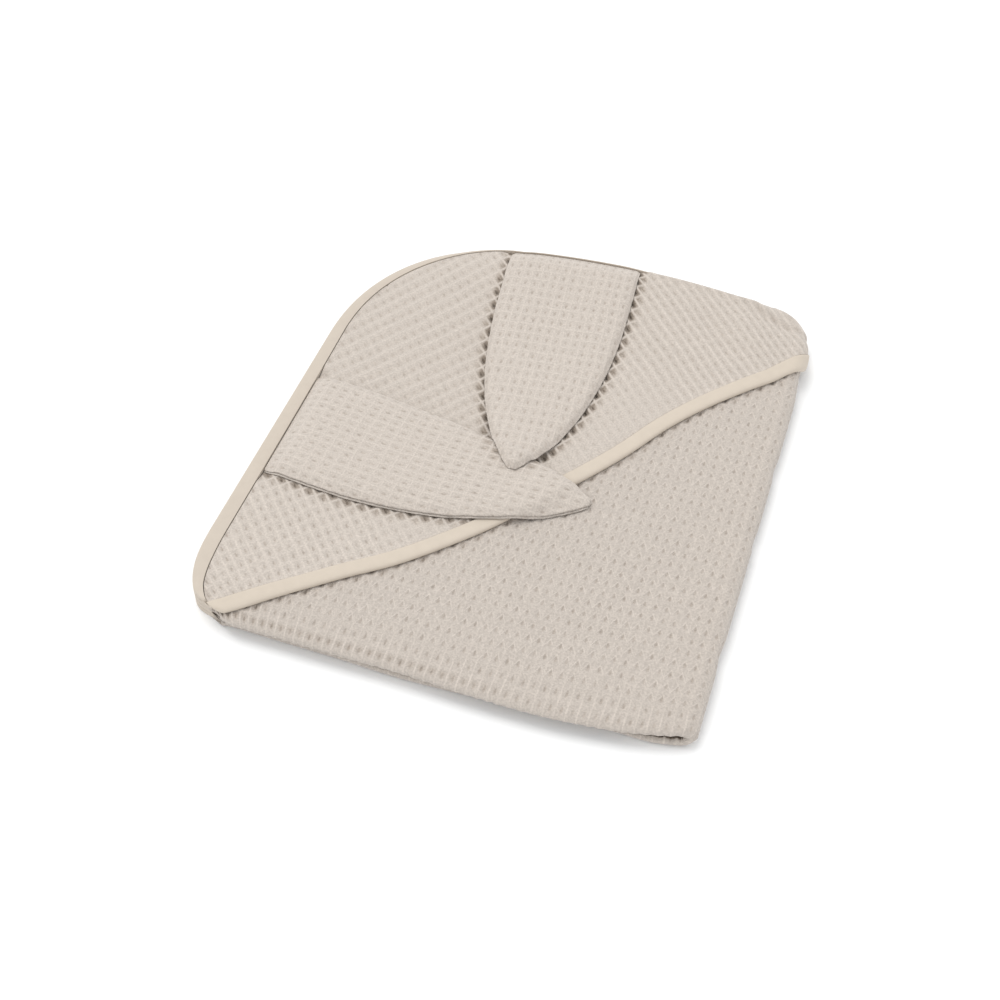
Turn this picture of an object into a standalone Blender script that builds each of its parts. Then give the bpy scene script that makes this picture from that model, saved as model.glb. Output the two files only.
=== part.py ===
"""A hooded bath wrap of waffle cloth, folded in four, with its hood and two long ears on top.

The towel is folded twice: its front half under its back half, then its right half under its
left half. The packet so has two stacked rolls at the front, one wide fold at the right, and
four bound edges, one on the other, at the left and at the back. The hood covers the rounded
back left corner, and its hem runs at 45 degrees and goes round the right fold.
Metres, +Z up, standing on z = 0. The plan is laid out from the packet's front left corner and
is centred at the end.
"""

import math

import bmesh
import bpy

# ------------------------------------------------------------------ driving dimensions
PACKET_WIDTH = 0.340            # left bound edges to the right fold
BACK_CREST_Y = 0.4070           # furthest point of the bowed back edge
BACK_CREST_X = 0.196
BACK_BOW = 0.0150               # how far the back edge comes forward again ...
BACK_BOW_SPAN = 0.122           # ... this far from the crest
CORNER_START_Y = 0.270          # where the rounded back left corner leaves the left edge
CORNER_SPAN_X = 0.110           # and where it meets the back edge
CORNER_POWER = 2.1              # 2 is an ellipse, more is squarer

CORE_HEIGHT = 0.0160            # top of the four folded layers, under the hood
CORE_EDGE_HEIGHT = 0.0137       # the same beside the bound edges
FRONT_DROP = 0.0016             # the top sinks towards the front rolls
FRONT_DROP_SPAN = 0.034
LEFT_SLOPE_SPAN = 0.045
BACK_SLOPE_SPAN = 0.022
DOME_HEIGHT = 0.0075            # loose cloth puffs up along the back edge
DOME_SPAN = 0.075
DOME_LEFT_X = 0.010             # the puff rises over this stretch of x, and falls again
DOME_LEFT_SPAN = 0.120
DOME_RIGHT_X = 0.290
DOME_RIGHT_SPAN = 0.055
DOME_RIGHT_SHARE = 0.80         # this much of the puff is gone at the right fold
BACK_RISE = 0.0085              # the top tape's inner side is higher than its outer side

ROLL_RADIUS = 0.0050            # front rolls, measured in plan
ROLL_LINE = 0.0080              # where the flat top begins, behind the rolls
ROLL_GROOVE_Y = 0.0072          # bottom of the groove between the two rolls
ROLL_SPLIT_LOW = 0.0058         # the lower roll's front line holds up to this height
ROLL_SPLIT_HIGH = 0.0086        # and the upper roll's from this height on
FOLD_RADIUS = 0.0100            # right fold, measured in plan
FOLD_CORNER_Y = 0.352           # the fold turns in towards the back right corner from here
FOLD_CORNER_X = 0.308
FOLD_CORNER_SPAN_X = 0.032
FOLD_CORNER_SPAN_Y = 0.0420
FOLD_END_SQUEEZE = 0.40         # the bound edge draws the fold in by this much at its end

SEAM = 0.0003                   # gap between pieces that are sewn together
SEAT = 0.00045                  # gap between a panel and the panel it lies on
BINDING_WIDTH = 0.0110
BINDING_ROUND = 0.0016          # rounding of the bound edge
SHOULDER_INSET = 0.30           # the rounding's middle point, as shares of its depth
SHOULDER_DROP = 0.22            # and of the edge's height
STEEPEST_TAPE = 0.75            # steepest the top tape may lie, as rise over its length
STRAIGHT_STATIONS = 5           # the last stations, which turn to face straight back
HOOD_WALL = 0.0022
HEM_THICKNESS = 0.0030
HEM_ROOM = HEM_THICKNESS + SEAT + SEAM
FOLD_RECESS = 0.0023            # the towel's fold is drawn in under the hood by this much
FOLD_RECESS_SPAN = 0.040
HEM_FOLD_Y = 0.344              # the hem goes round the right fold here
HEM_HOOD_GAP = 0.0007           # plan gap between the tape and the hood's sewn edge
HEM_LEAD = 5                    # the tape's first points all lean as the point after them
COVER_SLOPE = 0.012             # cloth bridges down to the towel over this length before the hem
COVER_STEP = 0.013              # and steps down from the tape to the hood this far behind it
COVER_STEP_SPAN = 0.008
HOOD_END_SPAN = 0.004           # the hood's columns stop where they would be shorter than this
HOOD_SHORT_OF_HEM = 0.002       # and this far before the tape's end
UNDERSIDE_ROOM_Y = 0.030        # room for hem and hood under the towel starts this far before
UNDERSIDE_ROOM_X = 0.090        # the back right corner, and this far to the left of the fold

EAR_HALF_WIDTH = 0.0500
EAR_TAPER = 3.1                 # power of the taper, from a wide base to a point
EAR_WALL = 0.0020               # each of an ear's two panels, in the middle
EAR_RIM_WALL = 0.0010           # and at its sewn rim
EAR_RIM_SPAN = 0.007
EAR_PUFF = 0.0010               # the front panel rises a little in the middle
EAR_FRONT_INSET = 0.0009        # the back panel peeks out by this much
EAR_SEAT = 0.0008               # gap under an ear, which lies loosely
EAR_BASE_BLEND = 0.30           # share of an ear's length that its slanted base reaches into
EAR_TIP_GAP = 0.012             # the tip's last row is this share of the length before it
CROSSING_SLOPE = 0.024          # the right ear slopes down over this length beyond the left one

# The four bound edges, bottom to top: lower and upper height of each at the front rolls,
# along most of the edge, and at the right fold's end.
BOUND_EDGES = (
    # name             front             run               fold
    ("edge_binding_1", (0.0000, 0.0037), (0.0000, 0.0037), (0.0000, 0.0049)),
    ("edge_binding_2", (0.0040, 0.0077), (0.0040, 0.0077), (0.0052, 0.0083)),
    ("edge_binding_3", (0.0080, 0.0123), (0.0080, 0.0117), (0.0086, 0.0117)),
    ("edge_binding_4", (0.0126, 0.0169), (0.0120, 0.0169), (0.0120, 0.0169)),
)
EDGE_STACK = 0.0169             # all four together
LEVEL_BLEND_FRONT = 0.035       # length over which the heights change at either end
LEVEL_BLEND_FOLD = 0.060

# How far the two front rolls lie behind the plan's front line, along the packet. The rolls
# bulge forward in the middle, and turn back at the right corner.
FRONT_LINE = (
    # x       upper    lower
    (0.0000, 0.0070, 0.0070),
    (0.0120, 0.0048, 0.0048),
    (0.0180, 0.0038, 0.0050),
    (0.0320, 0.0014, 0.0062),
    (0.0700, 0.0008, 0.0062),
    (0.1100, 0.0000, 0.0036),
    (0.1550, -0.0005, 0.0014),
    (0.2050, -0.0030, 0.0022),
    (0.2500, -0.0034, 0.0026),
    (0.2900, -0.0012, 0.0038),
    (0.3120, 0.0024, 0.0026),
    (0.3260, 0.0063, 0.0045),
    (0.3400, 0.0120, 0.0090),
)
FRONT_FADE_SPAN = 0.040         # the flat cloth is as laid out from here back
FRONT_FADE_SPAN_LEFT = 0.016    # and at the left corner from here
LEFT_PULL = 0.027               # the front left corner is drawn to the right by this much
LEFT_PULL_DEPTH = 0.075         # from this depth on
LEFT_PULL_POWER = 3.3
LEFT_PULL_REACH = 0.045         # the pull dies out towards the right over this length
TAPE_SQUEEZE = 0.0028           # the bound edge narrows by this much towards that corner
TAPE_SQUEEZE_DEPTH = 0.050
TAPE_SQUEEZE_REACH = 0.030

# Lower edge of the hood's hem in the plan of the unrolled top: x, y and the tape's width.
HEM = (
    # x       y       width
    (0.0152, 0.0068, 0.0045),
    (0.0220, 0.0066, 0.0070),
    (0.0320, 0.0084, 0.0095),
    (0.0486, 0.0174, 0.0110),
    (0.0762, 0.0361, 0.0110),
    (0.1016, 0.0553, 0.0110),
    (0.1269, 0.0742, 0.0110),
    (0.1512, 0.0973, 0.0110),
    (0.1752, 0.1234, 0.0110),
    (0.2000, 0.1560, 0.0110),
    (0.2253, 0.1901, 0.0110),
    (0.2432, 0.2168, 0.0110),
    (0.2608, 0.2470, 0.0110),
    (0.2801, 0.2733, 0.0110),
    (0.3008, 0.2961, 0.0110),
    (0.3223, 0.3173, 0.0110),
    (0.3430, HEM_FOLD_Y, 0.0110),
    (0.3565, 0.3605, 0.0110),
)

# Once round the hem tape: share of its width from the lower edge, share of its thickness.
HEM_SECTION = (
    (0.00, 0.55),
    (0.03, 0.20),
    (0.12, 0.10),
    (0.40, 0.10),
    (0.70, 0.10),
    (1.00, 0.10),
    (1.00, 1.00),
    (0.70, 1.00),
    (0.40, 1.00),
    (0.12, 1.00),
    (0.03, 0.88),
)

# An ear's middle line, base to tip, as the three control points of a quadratic curve.
EARS = (
    # name        base              control           tip
    ("ear_left", (0.0140, 0.1740), (0.1180, 0.1520), (0.2310, 0.1605)),
    ("ear_right", (0.1525, 0.3890), (0.1640, 0.2800), (0.1735, 0.1680)),
)

# How finely the surfaces are divided.
LEFT_STEPS = 16
CORNER_STEPS = 16
BACK_STEPS = 20
ROLL_STEPS = 7
FOLD_STEPS = 8
TURN_STEPS = 4
HOOD_ROWS = 18
HEM_STEPS = 30
HEM_FOLD_STEPS = 12
EAR_ROWS = 16
EAR_COLUMNS = 10
ROW_CROWDING = 1.3              # above 1, rows lie closer together at the far end
LEFT_CROWDING = 1.5             # the same for the left edge's stations, at their front end
HOOD_CROWDING = 0.65            # from 0 to 1, hood rows lie closer together at both ends

CLOTH_COLOUR = (0.66, 0.60, 0.54)
BINDING_COLOUR = (0.75, 0.66, 0.54)


# ------------------------------------------------------------------ small helpers
def mix(a, b, t):
    return a + (b - a) * t


def smooth(t):
    """0 to 1 with a soft start and end."""
    t = min(max(t, 0.0), 1.0)
    return t * t * (3.0 - 2.0 * t)


def crowded(t):
    """0 to 1 in steps that get shorter towards the end."""
    return 1.0 - (1.0 - t) ** ROW_CROWDING


def ease_out(t):
    """0 to 1, steep at first and level at the end."""
    t = min(max(t, 0.0), 1.0)
    return 1.0 - (1.0 - t) ** 2


def row_at(rows, x):
    """The values of a table at x, on a smooth curve through its rows."""
    k = 0
    while k < len(rows) - 2 and x > rows[k + 1][0]:
        k += 1
    before = rows[max(k - 1, 0)]
    start = rows[k]
    end = rows[k + 1]
    after = rows[min(k + 2, len(rows) - 1)]
    span = end[0] - start[0]
    t = min(max((x - start[0]) / span, 0.0), 1.0)
    values = []
    for p0, p1, p2, p3 in list(zip(before, start, end, after))[1:]:
        first = (p2 - p0) / (end[0] - before[0]) * span
        final = (p3 - p1) / (after[0] - start[0]) * span
        values.append((2.0 * t ** 3 - 3.0 * t * t + 1.0) * p1 + (t ** 3 - 2.0 * t * t + t) * first
                      + (3.0 * t * t - 2.0 * t ** 3) * p2 + (t ** 3 - t * t) * final)
    return values


def spline(rows, count):
    """Points at even steps along a smooth curve through the rows."""
    steps = 24
    fine = []
    for k in range(len(rows) - 1):
        before = rows[max(k - 1, 0)]
        start = rows[k]
        end = rows[k + 1]
        after = rows[min(k + 2, len(rows) - 1)]
        for n in range(steps):
            t = n / steps
            fine.append(tuple(
                0.5 * (2 * p1 + (p2 - p0) * t + (2 * p0 - 5 * p1 + 4 * p2 - p3) * t * t
                       + (3 * p1 - p0 - 3 * p2 + p3) * t ** 3)
                for p0, p1, p2, p3 in zip(before, start, end, after)))
    fine.append(rows[-1])
    lengths = [0.0]
    for a, b in zip(fine, fine[1:]):
        lengths.append(lengths[-1] + math.dist(a[:2], b[:2]))
    points = []
    at = 0
    for n in range(count + 1):
        wanted = lengths[-1] * n / count
        while at < len(fine) - 2 and lengths[at + 1] < wanted:
            at += 1
        t = (wanted - lengths[at]) / (lengths[at + 1] - lengths[at])
        points.append(tuple(mix(a, b, t) for a, b in zip(fine[at], fine[at + 1])))
    return points


def side_of(line, x, y):
    """Distance from a line of points, positive on its left hand side, and where along it."""
    best = (1e9, 0.0)
    for k, (a, b) in enumerate(zip(line, line[1:])):
        dx, dy = b[0] - a[0], b[1] - a[1]
        t = ((x - a[0]) * dx + (y - a[1]) * dy) / (dx * dx + dy * dy)
        t = min(max(t, 0.0), 1.0)
        off_x = x - (a[0] + dx * t)
        off_y = y - (a[1] + dy * t)
        distance = math.hypot(off_x, off_y)
        if distance < abs(best[0]):
            sign = 1.0 if dx * off_y - dy * off_x >= 0.0 else -1.0
            best = (sign * distance, k + t)
    return best


def nearest_on(line, x, y):
    """The point of a line of points that is nearest to x, y."""
    _, at = side_of(line, x, y)
    k = min(int(at), len(line) - 2)
    return (mix(line[k][0], line[k + 1][0], at - k), mix(line[k][1], line[k + 1][1], at - k))


# ------------------------------------------------------------------ the packet's plan
def back_edge_y(x):
    return BACK_CREST_Y - BACK_BOW * ((x - BACK_CREST_X) / BACK_BOW_SPAN) ** 2


def fold_line_x(y):
    """Outermost x of the right fold."""
    turn = (y - FOLD_CORNER_Y) / FOLD_CORNER_SPAN_Y
    if turn <= 0.0:
        return PACKET_WIDTH
    return FOLD_CORNER_X + FOLD_CORNER_SPAN_X * math.sqrt(1.0 - min(turn, 0.999) ** 2)


def fold_axis_x(y):
    """Where the flat top ends and the right fold begins."""
    return fold_line_x(y) - FOLD_RADIUS


def fold_end_x():
    """Plan centre of the right fold where it meets the bound back edge."""
    x = PACKET_WIDTH - 2.0 * FOLD_RADIUS
    for _ in range(30):
        x = fold_axis_x(back_edge_y(x) - BINDING_WIDTH - SEAM)
    return x


FOLD_END_X = fold_end_x()


def edge_stations():
    """Stations along the left edge, round the back left corner and along the back edge.

    Each has its outer point, its outward direction, the plan width of the bound edge, the
    rise of the top tape towards its inner side, and the distance along the edge.
    """
    points = []
    for n in range(LEFT_STEPS):
        points.append((0.0, mix(ROLL_LINE, CORNER_START_Y, (n / LEFT_STEPS) ** LEFT_CROWDING)))
    rise_y = back_edge_y(CORNER_SPAN_X) - CORNER_START_Y
    for n in range(CORNER_STEPS):
        angle = 0.5 * math.pi * n / CORNER_STEPS
        across = math.cos(angle) ** (2.0 / CORNER_POWER)
        along = math.sin(angle) ** (2.0 / CORNER_POWER)
        points.append((CORNER_SPAN_X * (1.0 - across), CORNER_START_Y + rise_y * along))
    for n in range(BACK_STEPS + 1):
        x = mix(CORNER_SPAN_X, FOLD_END_X, n / BACK_STEPS)
        points.append((x, back_edge_y(x)))
    stations = []
    length = 0.0
    last = len(points) - 1
    for k, point in enumerate(points):
        before = points[max(k - 1, 0)]
        after = points[min(k + 1, last)]
        step = math.dist(before, after)
        normal_x = -(after[1] - before[1]) / step
        normal_y = (after[0] - before[0]) / step
        if k > 0:
            length += math.dist(points[k - 1], point)
        # The last stations face straight back, so that the fold can turn round them.
        straight = smooth((k - last) / STRAIGHT_STATIONS + 1.0)
        normal_x = mix(normal_x, 0.0, straight)
        scale = math.hypot(normal_x, normal_y)
        lift = rise_at(point[0], point[1])
        slope = min(lift / BINDING_WIDTH, STEEPEST_TAPE)
        width = BINDING_WIDTH * math.sqrt(1.0 - slope * slope)
        stations.append({"x": point[0], "y": point[1], "nx": normal_x / scale,
                         "ny": normal_y / scale, "width": width, "rise": lift,
                         "along": length})
    for station in stations:
        station["to_end"] = length - station["along"]
    return stations


def rise_at(x, y):
    """How much higher the inner side of the top tape is than its outer side."""
    if y < CORNER_START_Y:
        return 0.0
    left = smooth((x - DOME_LEFT_X) / DOME_LEFT_SPAN)
    right = 1.0 - smooth((x - DOME_RIGHT_X) / (FOLD_END_X - DOME_RIGHT_X))
    return BACK_RISE * left * right


STATIONS = edge_stations()


def inner_point(station, gap=SEAM):
    """The point on the inner side of the bound edge, a gap further in."""
    inset = station["width"] + gap
    return (station["x"] - station["nx"] * inset, station["y"] - station["ny"] * inset)


INNER_LINE = [inner_point(station) for station in STATIONS]
EAR_SEAM_LINE = [inner_point(station, 2.0 * SEAM) for station in STATIONS]
HEM_LINE = spline(HEM[:-2], HEM_STEPS)[:-1] + spline(HEM[-3:], HEM_FOLD_STEPS)


def hem_upper_line():
    """The upper edge of the hem tape, one point for each point of its lower edge."""
    line = []
    for k, (x, y, width) in enumerate(HEM_LINE):
        before = HEM_LINE[max(k - 1, 0)]
        after = HEM_LINE[min(k + 1, len(HEM_LINE) - 1)]
        if k < HEM_LEAD:
            before = HEM_LINE[HEM_LEAD - 1]
            after = HEM_LINE[HEM_LEAD + 1]
        step = math.dist(before[:2], after[:2])
        line.append((x - width * (after[1] - before[1]) / step,
                     y + width * (after[0] - before[0]) / step))
    return line


HEM_UPPER_LINE = hem_upper_line()


# ------------------------------------------------------------------ heights
def core_top(x, y):
    """Height of the four folded layers' top."""
    back = back_edge_y(x) - y
    dome = DOME_HEIGHT * math.exp(-(max(back, 0.0) / DOME_SPAN) ** 2)
    dome *= smooth((x - DOME_LEFT_X) / DOME_LEFT_SPAN)
    dome *= 1.0 - DOME_RIGHT_SHARE * smooth((x - DOME_RIGHT_X) / DOME_RIGHT_SPAN)
    height = CORE_HEIGHT + dome
    inside, at = side_of(INNER_LINE, x, y)
    inside = max(-inside, 0.0)
    k = min(int(at), len(STATIONS) - 2)
    rise = mix(STATIONS[k]["rise"], STATIONS[k + 1]["rise"], at - k)
    span = mix(LEFT_SLOPE_SPAN, BACK_SLOPE_SPAN, smooth((at - LEFT_STEPS) / CORNER_STEPS))
    height = mix(CORE_EDGE_HEIGHT + rise, height, ease_out(inside / span))
    front = 1.0 - min(max((y - ROLL_LINE) / FRONT_DROP_SPAN, 0.0), 1.0)
    return height - FRONT_DROP * front * front


def core_bottom(x, y):
    """The underside is flat, but for the corner where the hood comes round the fold."""
    if y < FOLD_CORNER_Y - UNDERSIDE_ROOM_Y or x < FOLD_END_X - UNDERSIDE_ROOM_X:
        return 0.0
    unrolled = 2.0 * fold_axis_x(y) + fold_length() - x
    inside, _ = side_of(HEM_LINE, unrolled, y)
    return HEM_ROOM * smooth((inside + COVER_SLOPE) / (COVER_SLOPE - 0.002))


def fold_length():
    """Length of cloth that goes round the right fold, in an x, z section."""
    return math.pi * 0.5 * (FOLD_RADIUS + 0.5 * CORE_EDGE_HEIGHT)


def fold_section(y):
    """Middle height, half height and plan radius of the core's right fold at y."""
    axis = fold_axis_x(y)
    top = core_top(axis, max(y, ROLL_LINE))
    bottom = core_bottom(axis, y)
    covered = FOLD_RECESS * smooth((y - HEM_FOLD_Y) / FOLD_RECESS_SPAN + 1.0)
    return axis, 0.5 * (top + bottom), 0.5 * (top - bottom), FOLD_RADIUS - covered


def on_towel(x, y, lift):
    """A point lifted off the core, where x runs on round the right fold and underneath."""
    axis, middle, half, radius = fold_section(y)
    if x <= axis:
        return (x, y, core_top(x, y) + lift)
    angle = math.pi * (x - axis) / fold_length()
    if angle <= math.pi:
        return (axis + (radius + lift) * math.sin(angle), y,
                middle + (half + lift) * math.cos(angle))
    below = axis - (x - axis - fold_length())
    return (below, y, core_bottom(below, y) - lift)


# ------------------------------------------------------------------ meshes and materials
def make_object(name, points, faces, colour, roughness):
    """A named object from points and faces, turned so that its faces point out."""
    mesh = bpy.data.meshes.new(name)
    mesh.from_pydata(points, [], faces)
    work = bmesh.new()
    work.from_mesh(mesh)
    bmesh.ops.remove_doubles(work, verts=work.verts, dist=1e-6)
    bmesh.ops.recalc_face_normals(work, faces=work.faces)
    work.to_mesh(mesh)
    work.free()
    mesh.shade_smooth()
    mesh.set_sharp_from_angle(angle=math.radians(50.0))
    thing = bpy.data.objects.new(name, mesh)
    bpy.context.collection.objects.link(thing)
    material = bpy.data.materials.new(name + "_finish")
    material.use_nodes = True
    shader = material.node_tree.nodes["Principled BSDF"]
    shader.inputs["Base Color"].default_value = (*colour, 1.0)
    shader.inputs["Roughness"].default_value = roughness
    shader.inputs["Metallic"].default_value = 0.0
    mesh.materials.append(material)
    return thing


def grid_faces(rows, columns, start=0):
    """Quads of a grid of points that is stored row by row."""
    faces = []
    for r in range(rows - 1):
        for c in range(columns - 1):
            a = start + r * columns + c
            faces.append((a, a + 1, a + columns + 1, a + columns))
    return faces


def closed_panel(name, outer, inner, colour, roughness=0.9):
    """A panel from its outer and inner grids of points, joined round the rim."""
    rows = len(outer)
    columns = len(outer[0])
    points = [p for row in outer for p in row] + [p for row in inner for p in row]
    size = rows * columns
    faces = grid_faces(rows, columns) + grid_faces(rows, columns, size)
    rim = [c for c in range(columns)]
    rim += [r * columns + columns - 1 for r in range(1, rows)]
    rim += [(rows - 1) * columns + c for c in range(columns - 2, -1, -1)]
    rim += [r * columns for r in range(rows - 2, 0, -1)]
    for a, b in zip(rim, rim[1:] + rim[:1]):
        faces.append((a, b, b + size, a + size))
    return make_object(name, points, faces, colour, roughness)


def swept_strip(name, sections, colour):
    """A strip from a list of sections with equal numbers of points, closed at both ends."""
    count = len(sections[0])
    points = [p for section in sections for p in section]
    faces = []
    for s in range(len(sections) - 1):
        for c in range(count):
            a = s * count + c
            b = s * count + (c + 1) % count
            faces.append((a, b, b + count, a + count))
    faces.append(tuple(range(count)))
    faces.append(tuple(range(len(points) - count, len(points))))
    return make_object(name, points, faces, colour, 0.8)


# ------------------------------------------------------------------ towel
def plan_grid():
    """Plan points of the towel's flat top, between the rolls, the fold and the bound edges."""
    half_corner = LEFT_STEPS + CORNER_STEPS // 2
    left = INNER_LINE[:half_corner + 1]
    back = INNER_LINE[half_corner:]
    rows = len(left) - 1
    columns = len(back) - 1
    end_y = back[-1][1]
    right = []
    for j in range(rows + 1):
        y = mix(left[j][1], end_y, (j / rows) ** 2) if j else ROLL_LINE
        right.append((fold_axis_x(y), y))
    front = [(mix(left[0][0], right[0][0], i / columns), ROLL_LINE)
             for i in range(columns + 1)]
    grid = []
    for j in range(rows + 1):
        v = j / rows
        row = []
        for i in range(columns + 1):
            u = i / columns
            point = []
            for axis in (0, 1):
                edges = ((1 - v) * front[i][axis] + v * back[i][axis]
                         + (1 - u) * left[j][axis] + u * right[j][axis])
                corners = ((1 - u) * (1 - v) * front[0][axis] + u * (1 - v) * front[-1][axis]
                           + (1 - u) * v * back[0][axis] + u * v * back[-1][axis])
                point.append(edges - corners)
            row.append(tuple(point))
        grid.append(row)
    return grid


def roll_profile(top):
    """The upper front roll's y and height above the packet's middle, top to groove."""
    half = 0.5 * top
    centre = 0.5 * half
    profile = [(ROLL_LINE, half), (ROLL_RADIUS, half)]
    for n in range(1, ROLL_STEPS + 1):
        angle = math.pi * n / ROLL_STEPS
        y = ROLL_RADIUS - ROLL_RADIUS * math.sin(angle)
        profile.append((y, centre + (centre - 0.5 * SEAM) * math.cos(angle)))
    return profile


def towel_body():
    """One solid for all four layers, with rolls at the front and the fold at the right."""
    grid = plan_grid()
    rows = len(grid)
    columns = len(grid[0])
    points = []
    faces = []

    def add(point):
        points.append(point)
        return len(points) - 1

    top = [[add((x, y, core_top(x, y))) for x, y in row] for row in grid]
    bottom = [[add((x, y, core_bottom(x, y))) for x, y in row] for row in grid]
    for sheet in (top, bottom):
        for j in range(rows - 1):
            for i in range(columns - 1):
                faces.append((sheet[j][i], sheet[j][i + 1], sheet[j + 1][i + 1],
                              sheet[j + 1][i]))

    # Plain walls behind the bound edges.
    wall = [(top[j][0], bottom[j][0]) for j in range(rows)]
    wall += [(top[-1][i], bottom[-1][i]) for i in range(1, columns)]
    for (a, b), (c, d) in zip(wall, wall[1:]):
        faces.append((a, b, d, c))

    # Front rolls: one column of points for each column of the top.
    upper = []
    groove = []
    lower = []
    for i in range(columns):
        x, y = grid[0][i]
        height = core_top(x, y)
        middle = 0.5 * height
        profile = roll_profile(height)[1:]
        upper.append([top[0][i]] + [add((x, py, middle + pz)) for py, pz in profile])
        groove.append(add((x, ROLL_GROOVE_Y, middle)))
        lower.append([bottom[0][i]] + [add((x, py, middle - pz)) for py, pz in profile])
    count = len(upper[0])
    for i in range(columns - 1):
        for side in (upper, lower):
            for n in range(count - 1):
                faces.append((side[i][n], side[i + 1][n], side[i + 1][n + 1], side[i][n + 1]))
            faces.append((side[i][-1], side[i + 1][-1], groove[i + 1], groove[i]))
    faces.append(tuple(upper[0] + [groove[0]] + lower[0][::-1]))

    # Right fold: the rolls' ends and the top's right side, turned half round.
    strips = []
    last_column = columns - 1
    for n, (py, pz) in enumerate(roll_profile(core_top(*grid[0][-1]))[::-1]):
        first = upper[last_column][count - 1 - n]
        final = lower[last_column][count - 1 - n]
        axis, middle, half, radius = fold_section(ROLL_LINE)
        strips.append(fold_strip(add, first, final, axis, py, middle, pz, radius * pz / half))
    for j in range(1, rows):
        y = grid[j][-1][1]
        axis, middle, half, radius = fold_section(y)
        strips.append(fold_strip(add, top[j][-1], bottom[j][-1], axis, y, middle, half, radius))
    for near, far in zip(strips, strips[1:]):
        for n in range(FOLD_STEPS):
            faces.append((near[n], near[n + 1], far[n + 1], far[n]))
    for n in range(FOLD_STEPS):
        faces.append((groove[last_column], strips[0][n + 1], strips[0][n]))
    faces.append(tuple(strips[-1]))
    return make_object("towel_body", points, faces, CLOTH_COLOUR, 0.9)


def fold_strip(add, first, final, axis, y, middle, half, radius):
    """Points of one turn round the right fold, between two that are there already."""
    strip = [first]
    for n in range(1, FOLD_STEPS):
        angle = math.pi * n / FOLD_STEPS
        strip.append(add((axis + radius * math.sin(angle), y, middle + half * math.cos(angle))))
    return strip + [final]


# ------------------------------------------------------------------ bound edges
def strip_section(low, high, rise, width):
    """Outward distance and height round one bound edge, whose outer side is rounded."""
    height = high - low
    return (
        (-width, low),
        (-BINDING_ROUND, low),
        (-SHOULDER_INSET * BINDING_ROUND, low + SHOULDER_DROP * height),
        (0.0, low + 0.5 * height),
        (-SHOULDER_INSET * BINDING_ROUND, high - SHOULDER_DROP * height),
        (-BINDING_ROUND, high),
        (-width, high + rise),
    )


def levels_at(front, run, fold, station):
    """Lower and upper height of a bound edge at a station."""
    at_front = 1.0 - smooth(station["along"] / LEVEL_BLEND_FRONT)
    at_fold = 1.0 - smooth(station["to_end"] / LEVEL_BLEND_FOLD)
    return tuple(r + (a - r) * at_front + (b - r) * at_fold
                 for a, r, b in zip(front, run, fold))


def edge_binding(order, name, front, run, fold):
    """One bound edge: it turns round the front roll at one end and the right fold at the other."""
    on_top = order == 3
    sections = []

    # Quarter turn round the end of its front roll.
    low, high = levels_at(front, run, fold, STATIONS[0])
    pair = BOUND_EDGES[order ^ 1][1]
    centre = 0.5 * (min(low, pair[0]) + max(high, pair[1]))
    reach = 0.5 * (max(high, pair[1]) - min(low, pair[0]))
    side = 1.0 if low > centre else -1.0
    half_gap = 0.5 * SEAM
    flat = strip_section(low, high, 0.0, STATIONS[0]["width"])
    for n in range(TURN_STEPS, 0, -1):
        angle = 0.5 * math.pi * n / TURN_STEPS
        section = []
        for out, height in flat:
            arm = abs(height - centre) - half_gap
            section.append((-out, ROLL_RADIUS - ROLL_RADIUS * arm / reach * math.sin(angle),
                            centre + side * (half_gap + arm * math.cos(angle))))
        sections.append(section)

    # The straight and rounded run.
    for station in STATIONS:
        low, high = levels_at(front, run, fold, station)
        rise = station["rise"] if on_top else 0.0
        sections.append([(station["x"] + station["nx"] * out, station["y"] + station["ny"] * out,
                          height)
                         for out, height in strip_section(low, high, rise, station["width"])])

    # Quarter turn round the end of the right fold.
    station = STATIONS[-1]
    low, high = levels_at(front, run, fold, station)
    centre = 0.5 * EDGE_STACK
    side = 1.0 if low > centre else -1.0
    for n in range(1, TURN_STEPS + 1):
        angle = 0.5 * math.pi * n / TURN_STEPS
        section = []
        for out, height in strip_section(low, high, 0.0, station["width"]):
            arm = abs(height - centre) - half_gap
            squeeze = 1.0 - FOLD_END_SQUEEZE * smooth(1.0 + out / station["width"])
            section.append((station["x"] + FOLD_RADIUS * squeeze * arm / centre * math.sin(angle),
                            station["y"] + out,
                            centre + side * (half_gap + arm * math.cos(angle))))
        sections.append(section)
    return swept_strip(name, sections, BINDING_COLOUR)


# ------------------------------------------------------------------ hood
def line_y(line, x):
    """Height of a plan line over x."""
    for a, b in zip(line, line[1:]):
        if a[0] <= x <= b[0]:
            return mix(a[1], b[1], (x - a[0]) / (b[0] - a[0]))
    if x < line[0][0]:
        return line[0][1]
    return line[-1][1]


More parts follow.
